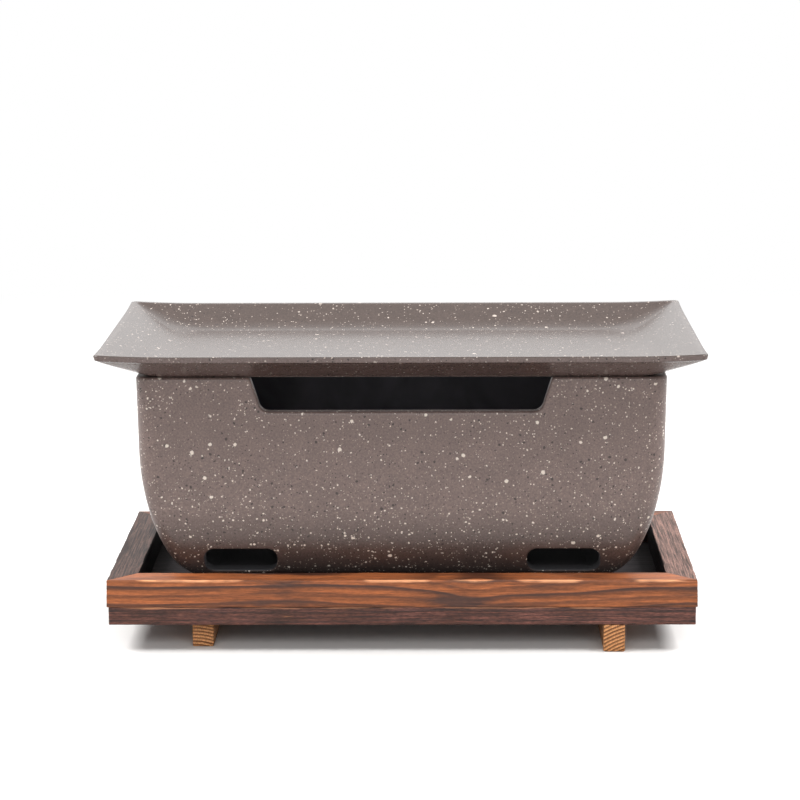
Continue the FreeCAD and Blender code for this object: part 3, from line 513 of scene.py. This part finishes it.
def plate_rings(plate):
    """The plate's rings, from the middle of its base out over the rim to the floor's middle."""
    low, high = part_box("grill_plate")
    half_x, half_y = (high.x - low.x) / 2, (high.y - low.y) / 2
    base = low.z + plate.peg_drop
    height = high.z - plate.rise - base
    edge_foot = height - plate.edge
    floor_foot = plate.flare + plate.floor_inset
    slope = (height - plate.floor) / (floor_foot - plate.land)
    rings = []

    def turned_up(x, y):
        """How far a spot is lifted: all the way at a corner and not at all along the sides."""
        lift = plate.rise
        for spot, half in ((x, half_x), (y, half_y)):
            near = (abs(spot) - half + plate.rim_corner + plate.run) / plate.run
            lift *= min(max(near, 0), 1) ** 2
        return lift

    def add_ring(inset, level, corner, rising):
        """Adds a ring that stands in from the rim's outline and shares in the corners' rise."""
        rings.append(rounded_ring(
            half_x - inset, half_y - inset, corner, base + level,
            lambda x, y: turned_up(x, y) * rising,
        ))

    # The flat base and its eased edge
    for inset in (60 * MM, 40 * MM, 25 * MM, 3 * plate.base_round):
        add_ring(plate.flare + inset, 0, plate.base_corner, 0)
    for sine, cosine in turn_steps(QUARTER, 4):
        inset = plate.flare + plate.base_round * (1 - sine * 1.2)
        add_ring(inset, plate.base_round * (1 - cosine) * 0.5, plate.base_corner, 0)
    # The flared side, the upright edge and the rim's flat top
    for part in range(1, 10):
        way = part / 10
        inset = plate.flare * (1 - way) + plate.lean * way + plate.bow * math.sin(math.pi * way)
        corner = plate.base_corner + (plate.rim_corner - plate.base_corner) * way
        add_ring(inset, edge_foot * way, corner, way)
    for sine, cosine in turn_steps(QUARTER, 4):
        inset = plate.lean + plate.easing * (1 - sine) * 0.6
        add_ring(inset, edge_foot + plate.easing * (1 - cosine) * 0.6, plate.rim_corner, 1)
    for sine, cosine in turn_steps(QUARTER, 6):
        inset = plate.easing * (1 - cosine)
        add_ring(inset, height - plate.easing * (1 - sine), plate.rim_corner, 1)
    for part in (0.4, 0.7):
        add_ring(plate.land * part, height, plate.rim_corner, 1)
    for part in range(5):
        way = part / 4
        inset = plate.land + plate.easing * (2 * way - 1)
        add_ring(inset, height - plate.easing * slope * way * way, plate.rim_corner, 1)
    # The inner slope, the hollow at its foot and the flat floor
    start, start_level = plate.land + plate.easing, height - plate.easing * slope
    foot, foot_level = floor_foot - plate.hollow, plate.floor + plate.hollow * slope
    inner = []
    for part in range(1, 9):
        way = part / 8
        level = start_level + (foot_level - start_level) * way
        inner.append((start + (foot - start) * way, level))
    for part in range(1, 13):
        way = part / 12
        level = plate.floor + plate.hollow * slope * (1 - way) ** 2
        inner.append((foot + 2 * plate.hollow * way, level))
    for inset, level in inner:
        way = min((inset - plate.land) / (floor_foot + plate.hollow - plate.land), 1)
        corner = plate.rim_corner + (plate.floor_corner - plate.rim_corner) * way
        add_ring(inset, level, corner, (1 - way) ** 1.5)
    for inset in (3, 8, 16, 24, 32):
        add_ring(floor_foot + plate.hollow + inset * MM, plate.floor, plate.floor_corner, 0)
    return rings


def turned_rings(x, y, outline):
    """Rings round an upright axis. outline gives each ring's radius and level, from the foot."""
    circle = turn_steps(math.tau, 32)[:-1]
    return [
        [Vector((x + radius * cosine, y + radius * sine, level)) for sine, cosine in circle]
        for radius, level in outline
    ]


def peg_outline(plate):
    """A peg's radii and levels, from its eased foot up into the plate's floor."""
    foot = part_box("grill_plate")[0].z
    radius, easing = plate.peg_width / 2, plate.peg_easing
    return (
        (radius - easing, foot),
        (radius - easing / 3, foot + easing / 3),
        (radius, foot + easing),
        (radius, foot + plate.peg_drop + plate.floor / 2),
    )


def combined(name, main, others, operation):
    """One closed mesh of a main mesh with others grown into it or cut out of it."""
    base = new_object(name, main)
    helpers = [new_object(name + "_part", mesh) for mesh in others]
    for helper in helpers:
        step = base.modifiers.new("combine", "BOOLEAN")
        step.operation = operation
        step.solver = "EXACT"
        step.object = helper
    bpy.context.view_layer.update()
    mesh = bpy.data.meshes.new_from_object(
        base.evaluated_get(bpy.context.evaluated_depsgraph_get())
    )
    for helper in [base, *helpers]:
        bpy.data.objects.remove(helper)
    mesh.name = name
    mesh.set_sharp_from_angle(angle=SHARP)
    return mesh


class GRILL_OT_plate(Operator):
    """Builds the dished plate with its turned-up corners and pegs."""

    bl_idname = "grill.plate"
    bl_label = "Plate"

    def execute(self, context):
        plate = context.scene.grill_plate
        dish = skin("dish", plate_rings(plate))
        pegs = [
            skin("peg", turned_rings(x, y, peg_outline(plate)))
            for x in (-plate.peg_x, plate.peg_x)
            for y in (-plate.peg_y, plate.peg_y)
        ]
        mesh = combined("dished_plate", dish, pegs, "UNION")
        material = stone_coat("stone_coat_on_plate", context.scene.grill_coat, False)
        show_piece("dished_plate", mesh, "plate", "grill_plate", material)
        return {"FINISHED"}


def timber_profile(width, height, radii, steps):
    """A rectangle with four arrises, as points round it from its lower left.

    radii gives the rounding at lower left, lower right, upper right and upper left, and steps
    the parts of the level and of the upright sides.
    """
    arcs = []
    for turn, (x, y) in enumerate(((0, 0), (width, 0), (width, height), (0, height))):
        radius = radii[turn]
        centre = Vector((
            x + (radius if x == 0 else -radius),
            y + (radius if y == 0 else -radius),
        ))
        bends = [QUARTER * ((turn + 2) % 4 + part / 4) for part in range(5)]
        arcs.append(
            [centre + Vector((math.cos(bend), math.sin(bend))) * radius for bend in bends]
        )
    points = []
    for turn, arc in enumerate(arcs):
        after = arcs[(turn + 1) % 4][0]
        count = steps[turn % 2]
        points += arc
        points += [arc[-1].lerp(after, part / count) for part in range(1, count)]
    return points


def varied(spot, scale, low, high):
    """A value between low and high that drifts smoothly over the scale."""
    value = 0.5 + 0.5 * noise.noise(Vector(spot) / scale)
    return low + (high - low) * min(max(value, 0), 1)


def furrow(spot):
    """How deep the brush has cut at a spot, from nothing to one: long furrows along x.

    The furrows are about 1 mm wide and 33 mm long, and the swell in them 6 mm by 17 mm.
    """
    fine = noise.noise(Vector((spot.x * 30, spot.y * 900, spot.z * 900)))
    swell = noise.noise(Vector((spot.x * 60, spot.y * 160, spot.z * 160)))
    return min(max(0.5 + 0.35 * fine + 0.3 * swell, 0), 1)


def rub_and_light(x, lengths):
    """How far an arris is rubbed bare and painted with a highlight at x: one inside the given
    lengths, nothing outside.
    """
    fade = 6 * MM
    most = 0
    for start, end in lengths:
        depth_in = min(x - start * MM, end * MM - x)
        most = max(most, min(max(0.5 + depth_in / fade, 0), 1))
    return most


def store_wear_and_highlight(mesh, wear_and_highlight):
    """Keeps how far each point is rubbed bare and painted with a highlight, for the timber's
    material.
    """
    layer = mesh.attributes.new("wear_and_highlight", "FLOAT", "POINT")
    layer.data.foreach_set("value", wear_and_highlight)


def mitred_timber(name, node, timber, turn, seed, rubbed_and_lit):
    """A mitred rail in its node's box, with brushed faces and arrises rubbed bare, with a painted
    highlight, in places.

    It is drawn as the front rail, with its outer face at the front, and turned to its side.
    """
    low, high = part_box(node)
    size = high - low
    run, depth = max(size.x, size.y), min(size.x, size.y)
    reach = max(abs(low.x), abs(high.x)) if turn % 2 else max(abs(low.y), abs(high.y))
    stations = round(run / timber.step)
    spin = Matrix.Rotation(turn * QUARTER, 4, "Z")
    rings, wear_and_highlight = [], []
    for station in range(stations + 1):
        along = 2 * station / stations - 1
        x = along * run / 2
        rubbed_and_lit_here = rub_and_light(x, rubbed_and_lit)
        radii = [
            varied((x, seed, 1), 12 * MM, 0.2, 0.5) * MM,
            varied((x, seed, 2), 12 * MM, 0.2, 0.5) * MM,
            varied((x, seed, 3), 9 * MM, 0.4, 1.2) * timber.arris,
            varied((x, seed, 4), 9 * MM, 0.4, 0.9) * timber.arris + 0.5 * MM * rubbed_and_lit_here,
        ]
        sway = varied((x, seed, 9), 16 * MM, 0, 1) * timber.sway
        patchy = varied((x, seed, 5), 5 * MM, 0.45, 1.25)
        ring = []
        for spot in timber_profile(depth, size.z, radii, (20, 18)):
            cut = furrow(Vector((x, spot.x, spot.y + seed))) * timber.brush
            outer_half = 2 * spot.x < depth
            if spot.x < radii[0]:
                spot = spot + Vector((cut + sway * (spot.y / size.z), 0))
            elif spot.x > depth - radii[1]:
                spot = spot - Vector((cut, 0))
            if spot.y > size.z - radii[2]:
                spot = spot - Vector((0, cut))
            # Outer top arris: rubbed bare wood with a painted highlight.
            near_arris = math.hypot(spot.x, size.z - spot.y) / (1.5 * MM)
            wear_and_highlight.append(rubbed_and_lit_here * patchy * max(1 - near_arris, 0) if outer_half else 0)
            ring.append(
                spin @ Vector((along * (run / 2 - spot.x), -reach + spot.x, low.z + spot.y))
            )
        rings.append(ring)
    mesh = skin(name, rings)
    store_wear_and_highlight(mesh, wear_and_highlight)
    return mesh


def fastener_places(node, box):
    """Where a node's screws or nails stand inside a box: each has one point at its tip."""
    low, high = box
    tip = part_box(node)[1].z
    places = {
        (round(point.co.x, 5), round(point.co.y, 5))
        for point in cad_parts[node].data.vertices
        if point.co.z > tip - 0.01 * MM
    }
    return sorted((x, y) for x, y in places if low.x < x < high.x and low.y < y < high.y)


def screw_outline(holes):
    """Radii and levels of a countersunk screw hole, from under the bearer to past the tip."""
    under, tip = (corner.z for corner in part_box("bearer_screws"))
    mouth = holes.screw_head / 2 + holes.screw_sink + holes.room
    shank = holes.screw / 2 + holes.room
    foot = under - holes.screw_sink
    return (
        (mouth + holes.overrun, foot - holes.overrun),
        (shank, foot + mouth - shank),
        (shank, tip + holes.room),
    )


def nail_outline(holes):
    """Radii and levels of a nail's hole, from under the board to past its tip."""
    under, tip = (corner.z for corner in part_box("frame_nails"))
    head, shank = holes.nail_head / 2 + holes.room, holes.nail / 2 + holes.room
    seat = under + holes.nail_head_height + holes.room
    return (head, under - holes.overrun), (head, seat), (shank, seat), (shank, tip + holes.room)


def drilled(name, mesh, box, fasteners):
    """The mesh with a hole for each fastener in its box."""
    cutters = [
        skin("drill", turned_rings(x, y, outline))
        for node, outline in fasteners
        for x, y in fastener_places(node, box)
    ]
    return combined(name, mesh, cutters, "DIFFERENCE")


def growth_rings(add, place, grain):
    """Growth rings round a pith line, for timber that runs along x once turned.

    Gives the hard lines, and the pine's patterns by name, moved by the timber's seed.
    """
    turned = add("Mapping", {"Vector": place, "Rotation": (0, 0, -grain["turn"] * QUARTER)})
    moved = add("VectorMath", {0: turned, 1: (grain["seed"] * SEED_STEP, 0, 0)}, operation="ADD")
    patterns = {}
    for name, (along, across, detail, rough) in PINE_PATTERNS.items():
        paces = (1 / (along * MM), 1 / (across * MM), 1 / (across * MM))
        stretched = add("VectorMath", {0: moved, 1: paces}, operation="MULTIPLY")
        patterns[name] = add(
            "TexNoise", {"Vector": stretched, "Scale": 1.0, "Detail": detail, "Roughness": rough}
        )
    centred = add(
        "VectorMath", {0: patterns["drift"].outputs["Color"], 1: (0.5,) * 3}, operation="SUBTRACT"
    )
    sway = grain["sway"] * MM
    bent = add("VectorMath", {0: centred, 1: (0, sway, sway), 2: turned}, operation="MULTIPLY_ADD")
    for middle, half, drop in grain["dips"]:
        # The drop is divided by one and the square of the distance in half widths.
        away = add("SeparateXYZ", {0: turned}).outputs[0]
        for operation, value in (
            ("SUBTRACT", middle * MM), ("MULTIPLY", 1 / (half * MM)), ("POWER", 2.0), ("ADD", 1.0),
        ):
            away = add("Math", {0: away, 1: value}, operation=operation)
        dip = add("Math", {0: drop * MM, 1: away}, operation="DIVIDE")
        lifted = add("CombineXYZ", {2: dip})
        bent = add("VectorMath", {0: bent, 1: lifted}, operation="ADD")
    pith_y, pith_z = grain["pith"]
    from_pith = add("VectorMath", {0: bent, 1: (0, pith_y * MM, pith_z * MM)}, operation="SUBTRACT")
    across = add("VectorMath", {0: from_pith, 1: (0, 1, 1)}, operation="MULTIPLY")
    radius = add("VectorMath", {0: across}, operation="LENGTH").outputs["Value"]
    count = add("Math", {0: radius, 1: 1 / grain["ring"]}, operation="MULTIPLY")
    phase = add("Math", {0: count}, operation="FRACT")
    number = add("Math", {0: count}, operation="FLOOR")
    chance = add("TexWhiteNoise", {"W": number}, noise_dimensions="1D")
    strength = add("MapRange", {"Value": chance.outputs["Value"], "To Min": grain["weakest"]})
    # Each hard line sets in slowly and ends sharply.
    rise, fall = [
        add(
            "MapRange", {"Value": phase, "From Min": start, "From Max": end},
            interpolation_type="SMOOTHSTEP",
        )
        for start, end in ((0.15, 0.8), (1.0, 0.84))
    ]
    both = add("Math", {0: rise, 1: fall}, operation="MULTIPLY")
    return add("Math", {0: both, 1: strength}, operation="MULTIPLY"), patterns


def charred_pine(name, timber, grain, early, late):
    """Pine scorched with a flame, brushed and lacquered: the soft wood is burnt orange-brown,
    the hard ring lines and the scorched patches are dark, the brush leaves fine furrows, and
    rubbed arrises show bright bare wood with a painted highlight on it.

    grain holds what differs from timber to timber. All its lengths but ring are in millimetres,
    and black says which faces are made near black: the top, the inside or none.
    """
    material = bpy.data.materials.new(name)
    add = emptied(material)
    place = add("TexCoord").outputs["Object"]
    line, patterns = growth_rings(add, place, grain)
    fibre, patches = patterns["fibre"], patterns["patches"]
    wood = add("Mix", {"Factor": line, 6: early, 7: late}, data_type="RGBA").outputs[2]
    scorch = patches
    for middle, level, half_length, half_height in grain["scorched"]:
        offset = add(
            "VectorMath", {0: place, 1: (middle * MM, 0, level * MM)}, operation="SUBTRACT"
        )
        paces = (1 / (half_length * MM), 0, 1 / (half_height * MM))
        scaled = add("VectorMath", {0: offset, 1: paces}, operation="MULTIPLY")
        away = add("VectorMath", {0: scaled}, operation="LENGTH").outputs["Value"]
        spot = add("MapRange", {"Value": away, "From Min": 1.3, "From Max": 0.5, "To Max": 0.21})
        scorch = add("Math", {0: scorch, 1: spot}, operation="ADD")
    less = 0.5 * grain["char"]
    charred = add("MapRange", {"Value": scorch, "From Min": 0.72 - less, "From Max": 0.98 - less})
    burnt = add("Mix", {"Factor": charred, 6: wood, 7: timber.char}, data_type="RGBA").outputs[2]
    brushed, porous = [
        add(
            "MapRange",
            {
                "Value": pattern, "From Min": 0.5 - spread, "From Max": 0.5 + spread,
                "To Min": tone * (1 - strength), "To Max": tone * (1 + strength),
            },
        )
        for pattern, spread, tone, strength in (
            (fibre, 0.15, grain["tone"], grain["streak"]),
            (patterns["pores"], 0.18, 1, grain["pores"]),
        )
    ]
    streak = add("Math", {0: brushed, 1: porous}, operation="MULTIPLY")
    streaked = add("VectorMath", {0: burnt, "Scale": streak}, operation="SCALE")
    # Rubbed arrises show bare wood under a painted highlight, broken up along the fibres and
    # patches.
    wear_and_highlight = add("Attribute", attribute_name="wear_and_highlight").outputs["Fac"]
    broken = add("Math", {0: fibre, 1: patches}, operation="ADD")
    rubbed_and_lit = add("Math", {0: wear_and_highlight, 1: 1.4, 2: broken}, operation="MULTIPLY_ADD")
    bare_and_highlit = add("MapRange", {"Value": rubbed_and_lit, "From Min": 1.3, "From Max": 1.8})
    finished = add(
        "Mix", {"Factor": bare_and_highlit, 6: streaked, 7: timber.worn_and_highlit}, data_type="RGBA"
    ).outputs[2]
    relief = add("Math", {0: line, 1: 0.6, 2: fibre}, operation="MULTIPLY_ADD")
    bump = add("Bump", {"Height": relief, "Strength": 0.5, "Distance": 0.2 * MM})
    rough = add("MapRange", {"Value": fibre, "To Min": 0.42, "To Max": 0.62})
    # Faces that look up, or in towards the tray's middle, are made near black.
    if grain["black"]:
        normal = add("NewGeometry").outputs["Normal"]
        if grain["black"] == "top":
            facing = add("SeparateXYZ", {0: normal}).outputs[2]
            start, end = 0.85, 0.97
        else:
            level_normal = add("VectorMath", {0: normal, 1: (1, 1, 0)}, operation="MULTIPLY")
            facing = add(
                "VectorMath", {0: place, 1: level_normal}, operation="DOT_PRODUCT"
            ).outputs["Value"]
            start, end = -25 * MM, -40 * MM
        black = add("MapRange", {"Value": facing, "From Min": start, "From Max": end})
        stain = add("VectorMath", {0: timber.tray_black[:3], "Scale": streak}, operation="SCALE")
        finished = add("Mix", {"Factor": black, 6: finished, 7: stain}, data_type="RGBA").outputs[2]
        rough = add("MapRange", {"Value": black, "To Min": 0.5, "To Max": 0.85})
    finish_material(
        add,
        {
            "Base Color": finished, "Roughness": rough, "IOR": 1.45,
            "Specular IOR Level": grain["shine"], "Normal": bump,
        },
    )
    return material


class GRILL_OT_rails(Operator):
    """Builds the four mitred rails of the tray."""

    bl_idname = "grill.rails"
    bl_label = "Rails"

    def execute(self, context):
        timber = context.scene.grill_timber
        nails = ("frame_nails", nail_outline(context.scene.grill_holes))
        for node, turn, seed, pith, dips, rubbed_and_lit, scorched, char, tone in RAILS:
            grain = {
                "turn": turn, "seed": seed, "pith": pith, "dips": dips, "sway": 5.0,
                "ring": timber.ring, "weakest": 0.15, "scorched": scorched, "char": char,
                "tone": tone, "streak": 0.36, "pores": 0.22, "black": "inside", "shine": 0.5,
            }
            tones = timber.early, timber.late
            if turn % 2:
                grain.update(streak=0.8, pores=0.35, shine=0.2)
                tones = timber.side_early, timber.side_late
            material = charred_pine("charred_pine_" + node, timber, grain, *tones)
            name = node + "_timber"
            mesh = mitred_timber(name, node, timber, turn, seed, rubbed_and_lit)
            mesh = drilled(name, mesh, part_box(node), [nails])
            show_piece(name, mesh, "tray", node, material)
        return {"FINISHED"}


def block_rings(low, high, radius, timber, across, seed):
    """Rings of a plain block that runs along x or y, with eased ends and brushed faces."""
    size = high - low
    run, width = (size.y, size.x) if across else (size.x, size.y)
    stations = max(round(run / timber.step), 8)
    ends = [(0, 0.3), (0, 0.65), (0, 0.9), (0.15 * radius, 0.96), (0.5 * radius, 0.99)]
    middles = [(radius + (run - 2 * radius) * step / stations, 1) for step in range(stations + 1)]
    spots = ends + middles + [(run - inset, part) for inset, part in reversed(ends)]
    # The wide board takes coarser steps across than the narrow bearers.
    step_across = 2 * MM if width > 50 * MM else 0.8 * MM
    steps = max(round(width / step_across), 6), max(round(size.z / (0.7 * MM)), 6)
    middle = Vector((width / 2, size.z / 2))
    rings = []
    for inset, part in spots:
        radii = [varied((inset, seed, turn), 8 * MM, 0.6, 1.3) * radius for turn in range(4)]
        ring = []
        for spot in timber_profile(width, size.z, radii, steps):
            cut = furrow(Vector((inset, spot.x, spot.y + seed))) * 0.4 * timber.brush
            inward = Vector([
                math.copysign(cut, half - value) if min(value, 2 * half - value) < radius else 0
                for value, half in zip(spot, middle)
            ])
            spot = middle + (spot + inward - middle) * part
            x, y = (spot.x, inset) if across else (inset, spot.x)
            ring.append(Vector((low.x + x, low.y + y, low.z + spot.y)))
        rings.append(ring)
    return rings


class GRILL_OT_board(Operator):
    """Builds the tray's board."""

    bl_idname = "grill.board"
    bl_label = "Board"

    def execute(self, context):
        timber = context.scene.grill_timber
        holes = context.scene.grill_holes
        low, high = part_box("base_board")
        mesh = skin("tray_board", block_rings(low, high, timber.board_arris, timber, False, 7))
        fasteners = [
            ("frame_nails", nail_outline(holes)), ("bearer_screws", screw_outline(holes)),
        ]
        mesh = drilled("tray_board", mesh, (low, high), fasteners)
        # The board's front arris: rubbed bare wood with a painted highlight.
        rubbed_and_lit_z, rubbed_and_lit_y = high.z - 0.9 * MM, low.y + 0.7 * MM
        store_wear_and_highlight(mesh, [
            timber.board_wear_and_highlight if point.co.z > rubbed_and_lit_z and point.co.y < rubbed_and_lit_y else 0
            for point in mesh.vertices
        ])
        grain = {
            "turn": 0, "seed": 7, "pith": (-20, 75), "dips": (), "sway": 3.0,
            "ring": 0.5 * timber.ring, "weakest": 0.35, "scorched": (), "char": 0.55,
            "tone": 0.8, "streak": 0.7, "pores": 0.6, "black": "top", "shine": 0.4,
        }
        material = charred_pine("stained_pine_board", timber, grain, timber.board, timber.stain)
        show_piece("tray_board", mesh, "tray", "base_board", material)
        return {"FINISHED"}


class GRILL_OT_bearers(Operator):
    """Builds the two bearers under the tray."""

    bl_idname = "grill.bearers"
    bl_label = "Bearers"

    def execute(self, context):
        timber = context.scene.grill_timber
        tones = timber.end_early, timber.end_late
        screws = ("bearer_screws", screw_outline(context.scene.grill_holes))
        for node, seed, pith in BEARERS:
            low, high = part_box(node)
            name = node + "_timber"
            rings = block_rings(low, high, timber.bearer_arris, timber, True, seed)
            mesh = drilled(name, skin(name, rings), (low, high), [screws])
            grain = {
                "turn": 1, "seed": seed, "pith": pith, "dips": (), "sway": 1.5,
                "ring": timber.close_ring, "weakest": 0.8, "scorched": (), "char": 0.15,
                "tone": 1.0, "streak": 0.3, "pores": 0.2, "black": None, "shine": 0.3,
            }
            material = charred_pine("pine_" + node, timber, grain, *tones)
            show_piece(name, mesh, "tray", node, material)
        return {"FINISHED"}


def dull_steel(name, code, rough):
    """Pressed sheet or drawn wire steel, dulled by heat or zinc: a grey metal with a soft,
    slightly uneven shine, in stains about 6 mm wide.
    """
    material = bpy.data.materials.new(name)
    add = emptied(material)
    place = add("TexCoord").outputs["Object"]
    stains = add("TexNoise", {"Vector": place, "Scale": 1 / (6 * MM), "Detail": 4.0})
    shade, roughness = [
        add("MapRange", {"Value": stains, "To Min": low, "To Max": high})
        for low, high in ((0.7, 1.3), (rough - 0.1, rough + 0.1))
    ]
    stained = add("VectorMath", {0: linear(code)[:3], "Scale": shade}, operation="SCALE")
    finish_material(add, {"Base Color": stained, "Roughness": roughness, "Metallic": 1.0})
    return material


class GRILL_OT_grate(Operator):
    """Gives the charcoal grate its heat-dulled steel."""

    bl_idname = "grill.grate"
    bl_label = "Grate"

    def execute(self, context):
        coat_node("charcoal_grate", dull_steel("heat_dulled_sheet_steel", "#4A4643", 0.55))
        return {"FINISHED"}


class GRILL_OT_fasteners(Operator):
    """Gives the screws and nails their zinc."""

    bl_idname = "grill.fasteners"
    bl_label = "Screws and Nails"

    def execute(self, context):
        zinc = dull_steel("zinc_plated_steel", "#B9BBBD", 0.35)
        coat_node("bearer_screws", zinc)
        coat_node("frame_nails", zinc)
        return {"FINISHED"}


def add_softbox(name, place, width, height, power):
    """A soft lamp that looks at the middle of the grill."""
    lamp = bpy.data.lights.new(name, "AREA")
    lamp.shape = "RECTANGLE"
    lamp.size = width
    lamp.size_y = height
    lamp.energy = power
    holder = new_object(name, lamp)
    holder.location = place
    holder.rotation_euler = (GRILL_MIDDLE - Vector(place)).to_track_quat("-Z", "Y").to_euler()


def seen_rays(add):
    """One for camera, glossy and transmission rays, which look straight at the surroundings."""
    rays = add("LightPath").outputs
    seen = rays["Is Camera Ray"]
    for other in ("Is Glossy Ray", "Is Transmission Ray"):
        seen = add("Math", {0: seen, 1: rays[other]}, operation="MAXIMUM")
    return seen


def white_room(light):
    """The world: pure white to look at, and an even grey light for the object."""
    world = bpy.data.worlds.new("white_room")
    bpy.context.scene.world = world
    add = emptied(world)
    lit = add("Background", {"Color": (light, light, light, 1.0)})
    white = add("Background", {"Color": (1.0, 1.0, 1.0, 1.0)})
    both = add("MixShader", {0: seen_rays(add), 1: lit, 2: white})
    add("OutputWorld", {"Surface": both})


def studio_floor(stage):
    """Matt painted studio floor: it shows the soft shadow near the object, runs out into the
    white surroundings, and throws a weaker light back on the object than it shows.
    """
    material = bpy.data.materials.new("matt_white_studio_floor")
    add = emptied(material)
    lifted = add("VectorMath", {0: stage.floor[:3], "Scale": stage.gain}, operation="SCALE")
    matt = add("BsdfDiffuse", {"Color": lifted})
    dim = add("BsdfDiffuse", {"Color": stage.bounce})
    place = add("NewGeometry").outputs["Position"]
    away = add("VectorMath", {0: place}, operation="LENGTH").outputs["Value"]
    run_out = add(
        "MapRange",
        {"Value": away, "From Min": stage.fade_start, "From Max": stage.fade_end},
        interpolation_type="SMOOTHSTEP",
    )
    white = add("Emission", {"Color": (1.0, 1.0, 1.0, 1.0), "Strength": 1.0})
    looked_at = add("MixShader", {0: run_out, 1: matt, 2: white})
    both = add("MixShader", {0: seen_rays(add), 1: dim, 2: looked_at})
    add("OutputMaterial", {"Surface": both})
    return material


class GRILL_OT_stage(Operator):
    """Sets the camera, the floor, the lamps and the white surroundings."""

    bl_idname = "grill.stage"
    bl_label = "Stage"

    def execute(self, context):
        stage = context.scene.grill_stage
        scene = context.scene
        scene.view_settings.view_transform = "Standard"

        camera = bpy.data.cameras.new("camera")
        camera.sensor_width = 36
        camera.lens = stage.lens
        camera.clip_start = 0.01
        camera.clip_end = 50
        holder = new_object("camera", camera)
        turn = Matrix.Rotation(stage.yaw, 4, "Z")
        tilt = Matrix.Rotation(QUARTER - stage.pitch, 4, "X")
        lean = Matrix.Rotation(stage.roll, 4, "Z")
        holder.matrix_world = Matrix.Translation(stage.place) @ turn @ tilt @ lean
        scene.camera = holder

        mesh = bpy.data.meshes.new("studio_floor")
        form = bmesh.new()
        bmesh.ops.create_circle(form, cap_ends=True, segments=64, radius=stage.radius)
        form.to_mesh(mesh)
        form.free()
        mesh.materials.append(studio_floor(stage))
        floor = new_object("studio_floor", mesh)

        for lamp in LAMPS:
            add_softbox(*lamp)
        white_room(stage.room)
        return {"FINISHED"}


class GRILL_PT_panel(Panel):
    """Lists the steps in the 3D view's sidebar."""

    bl_idname = "GRILL_PT_panel"
    bl_label = "Portable Grill"
    bl_space_type = "VIEW_3D"
    bl_region_type = "UI"
    bl_category = "Grill"

    def draw(self, context):
        for step in OPERATORS:
            self.layout.operator(step.bl_idname)


OPERATORS = (
    GRILL_OT_stage,
    GRILL_OT_stove,
    GRILL_OT_plate,
    GRILL_OT_grate,
    GRILL_OT_rails,
    GRILL_OT_board,
    GRILL_OT_bearers,
    GRILL_OT_fasteners,
)
SETTINGS = {
    "grill_coat": CoatSettings,
    "grill_plate": PlateSettings,
    "grill_timber": TimberSettings,
    "grill_holes": HoleSettings,
    "grill_stage": StageSettings,
}


def register():
    """Registers the settings, the operators and the panel."""
    for name, group in SETTINGS.items():
        bpy.utils.register_class(group)
        setattr(bpy.types.Scene, name, PointerProperty(type=group))
    for step in OPERATORS:
        bpy.utils.register_class(step)
    bpy.utils.register_class(GRILL_PT_panel)


def unregister():
    """Takes all of it away again."""
    bpy.utils.unregister_class(GRILL_PT_panel)
    for step in reversed(OPERATORS):
        bpy.utils.unregister_class(step)
    for name, group in SETTINGS.items():
        delattr(bpy.types.Scene, name)
        bpy.utils.unregister_class(group)


def main():
    register()
    for step in OPERATORS:
        group, name = step.bl_idname.split(".")
        getattr(getattr(bpy.ops, group), name)()
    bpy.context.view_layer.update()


if __name__ == "__main__":
    main()
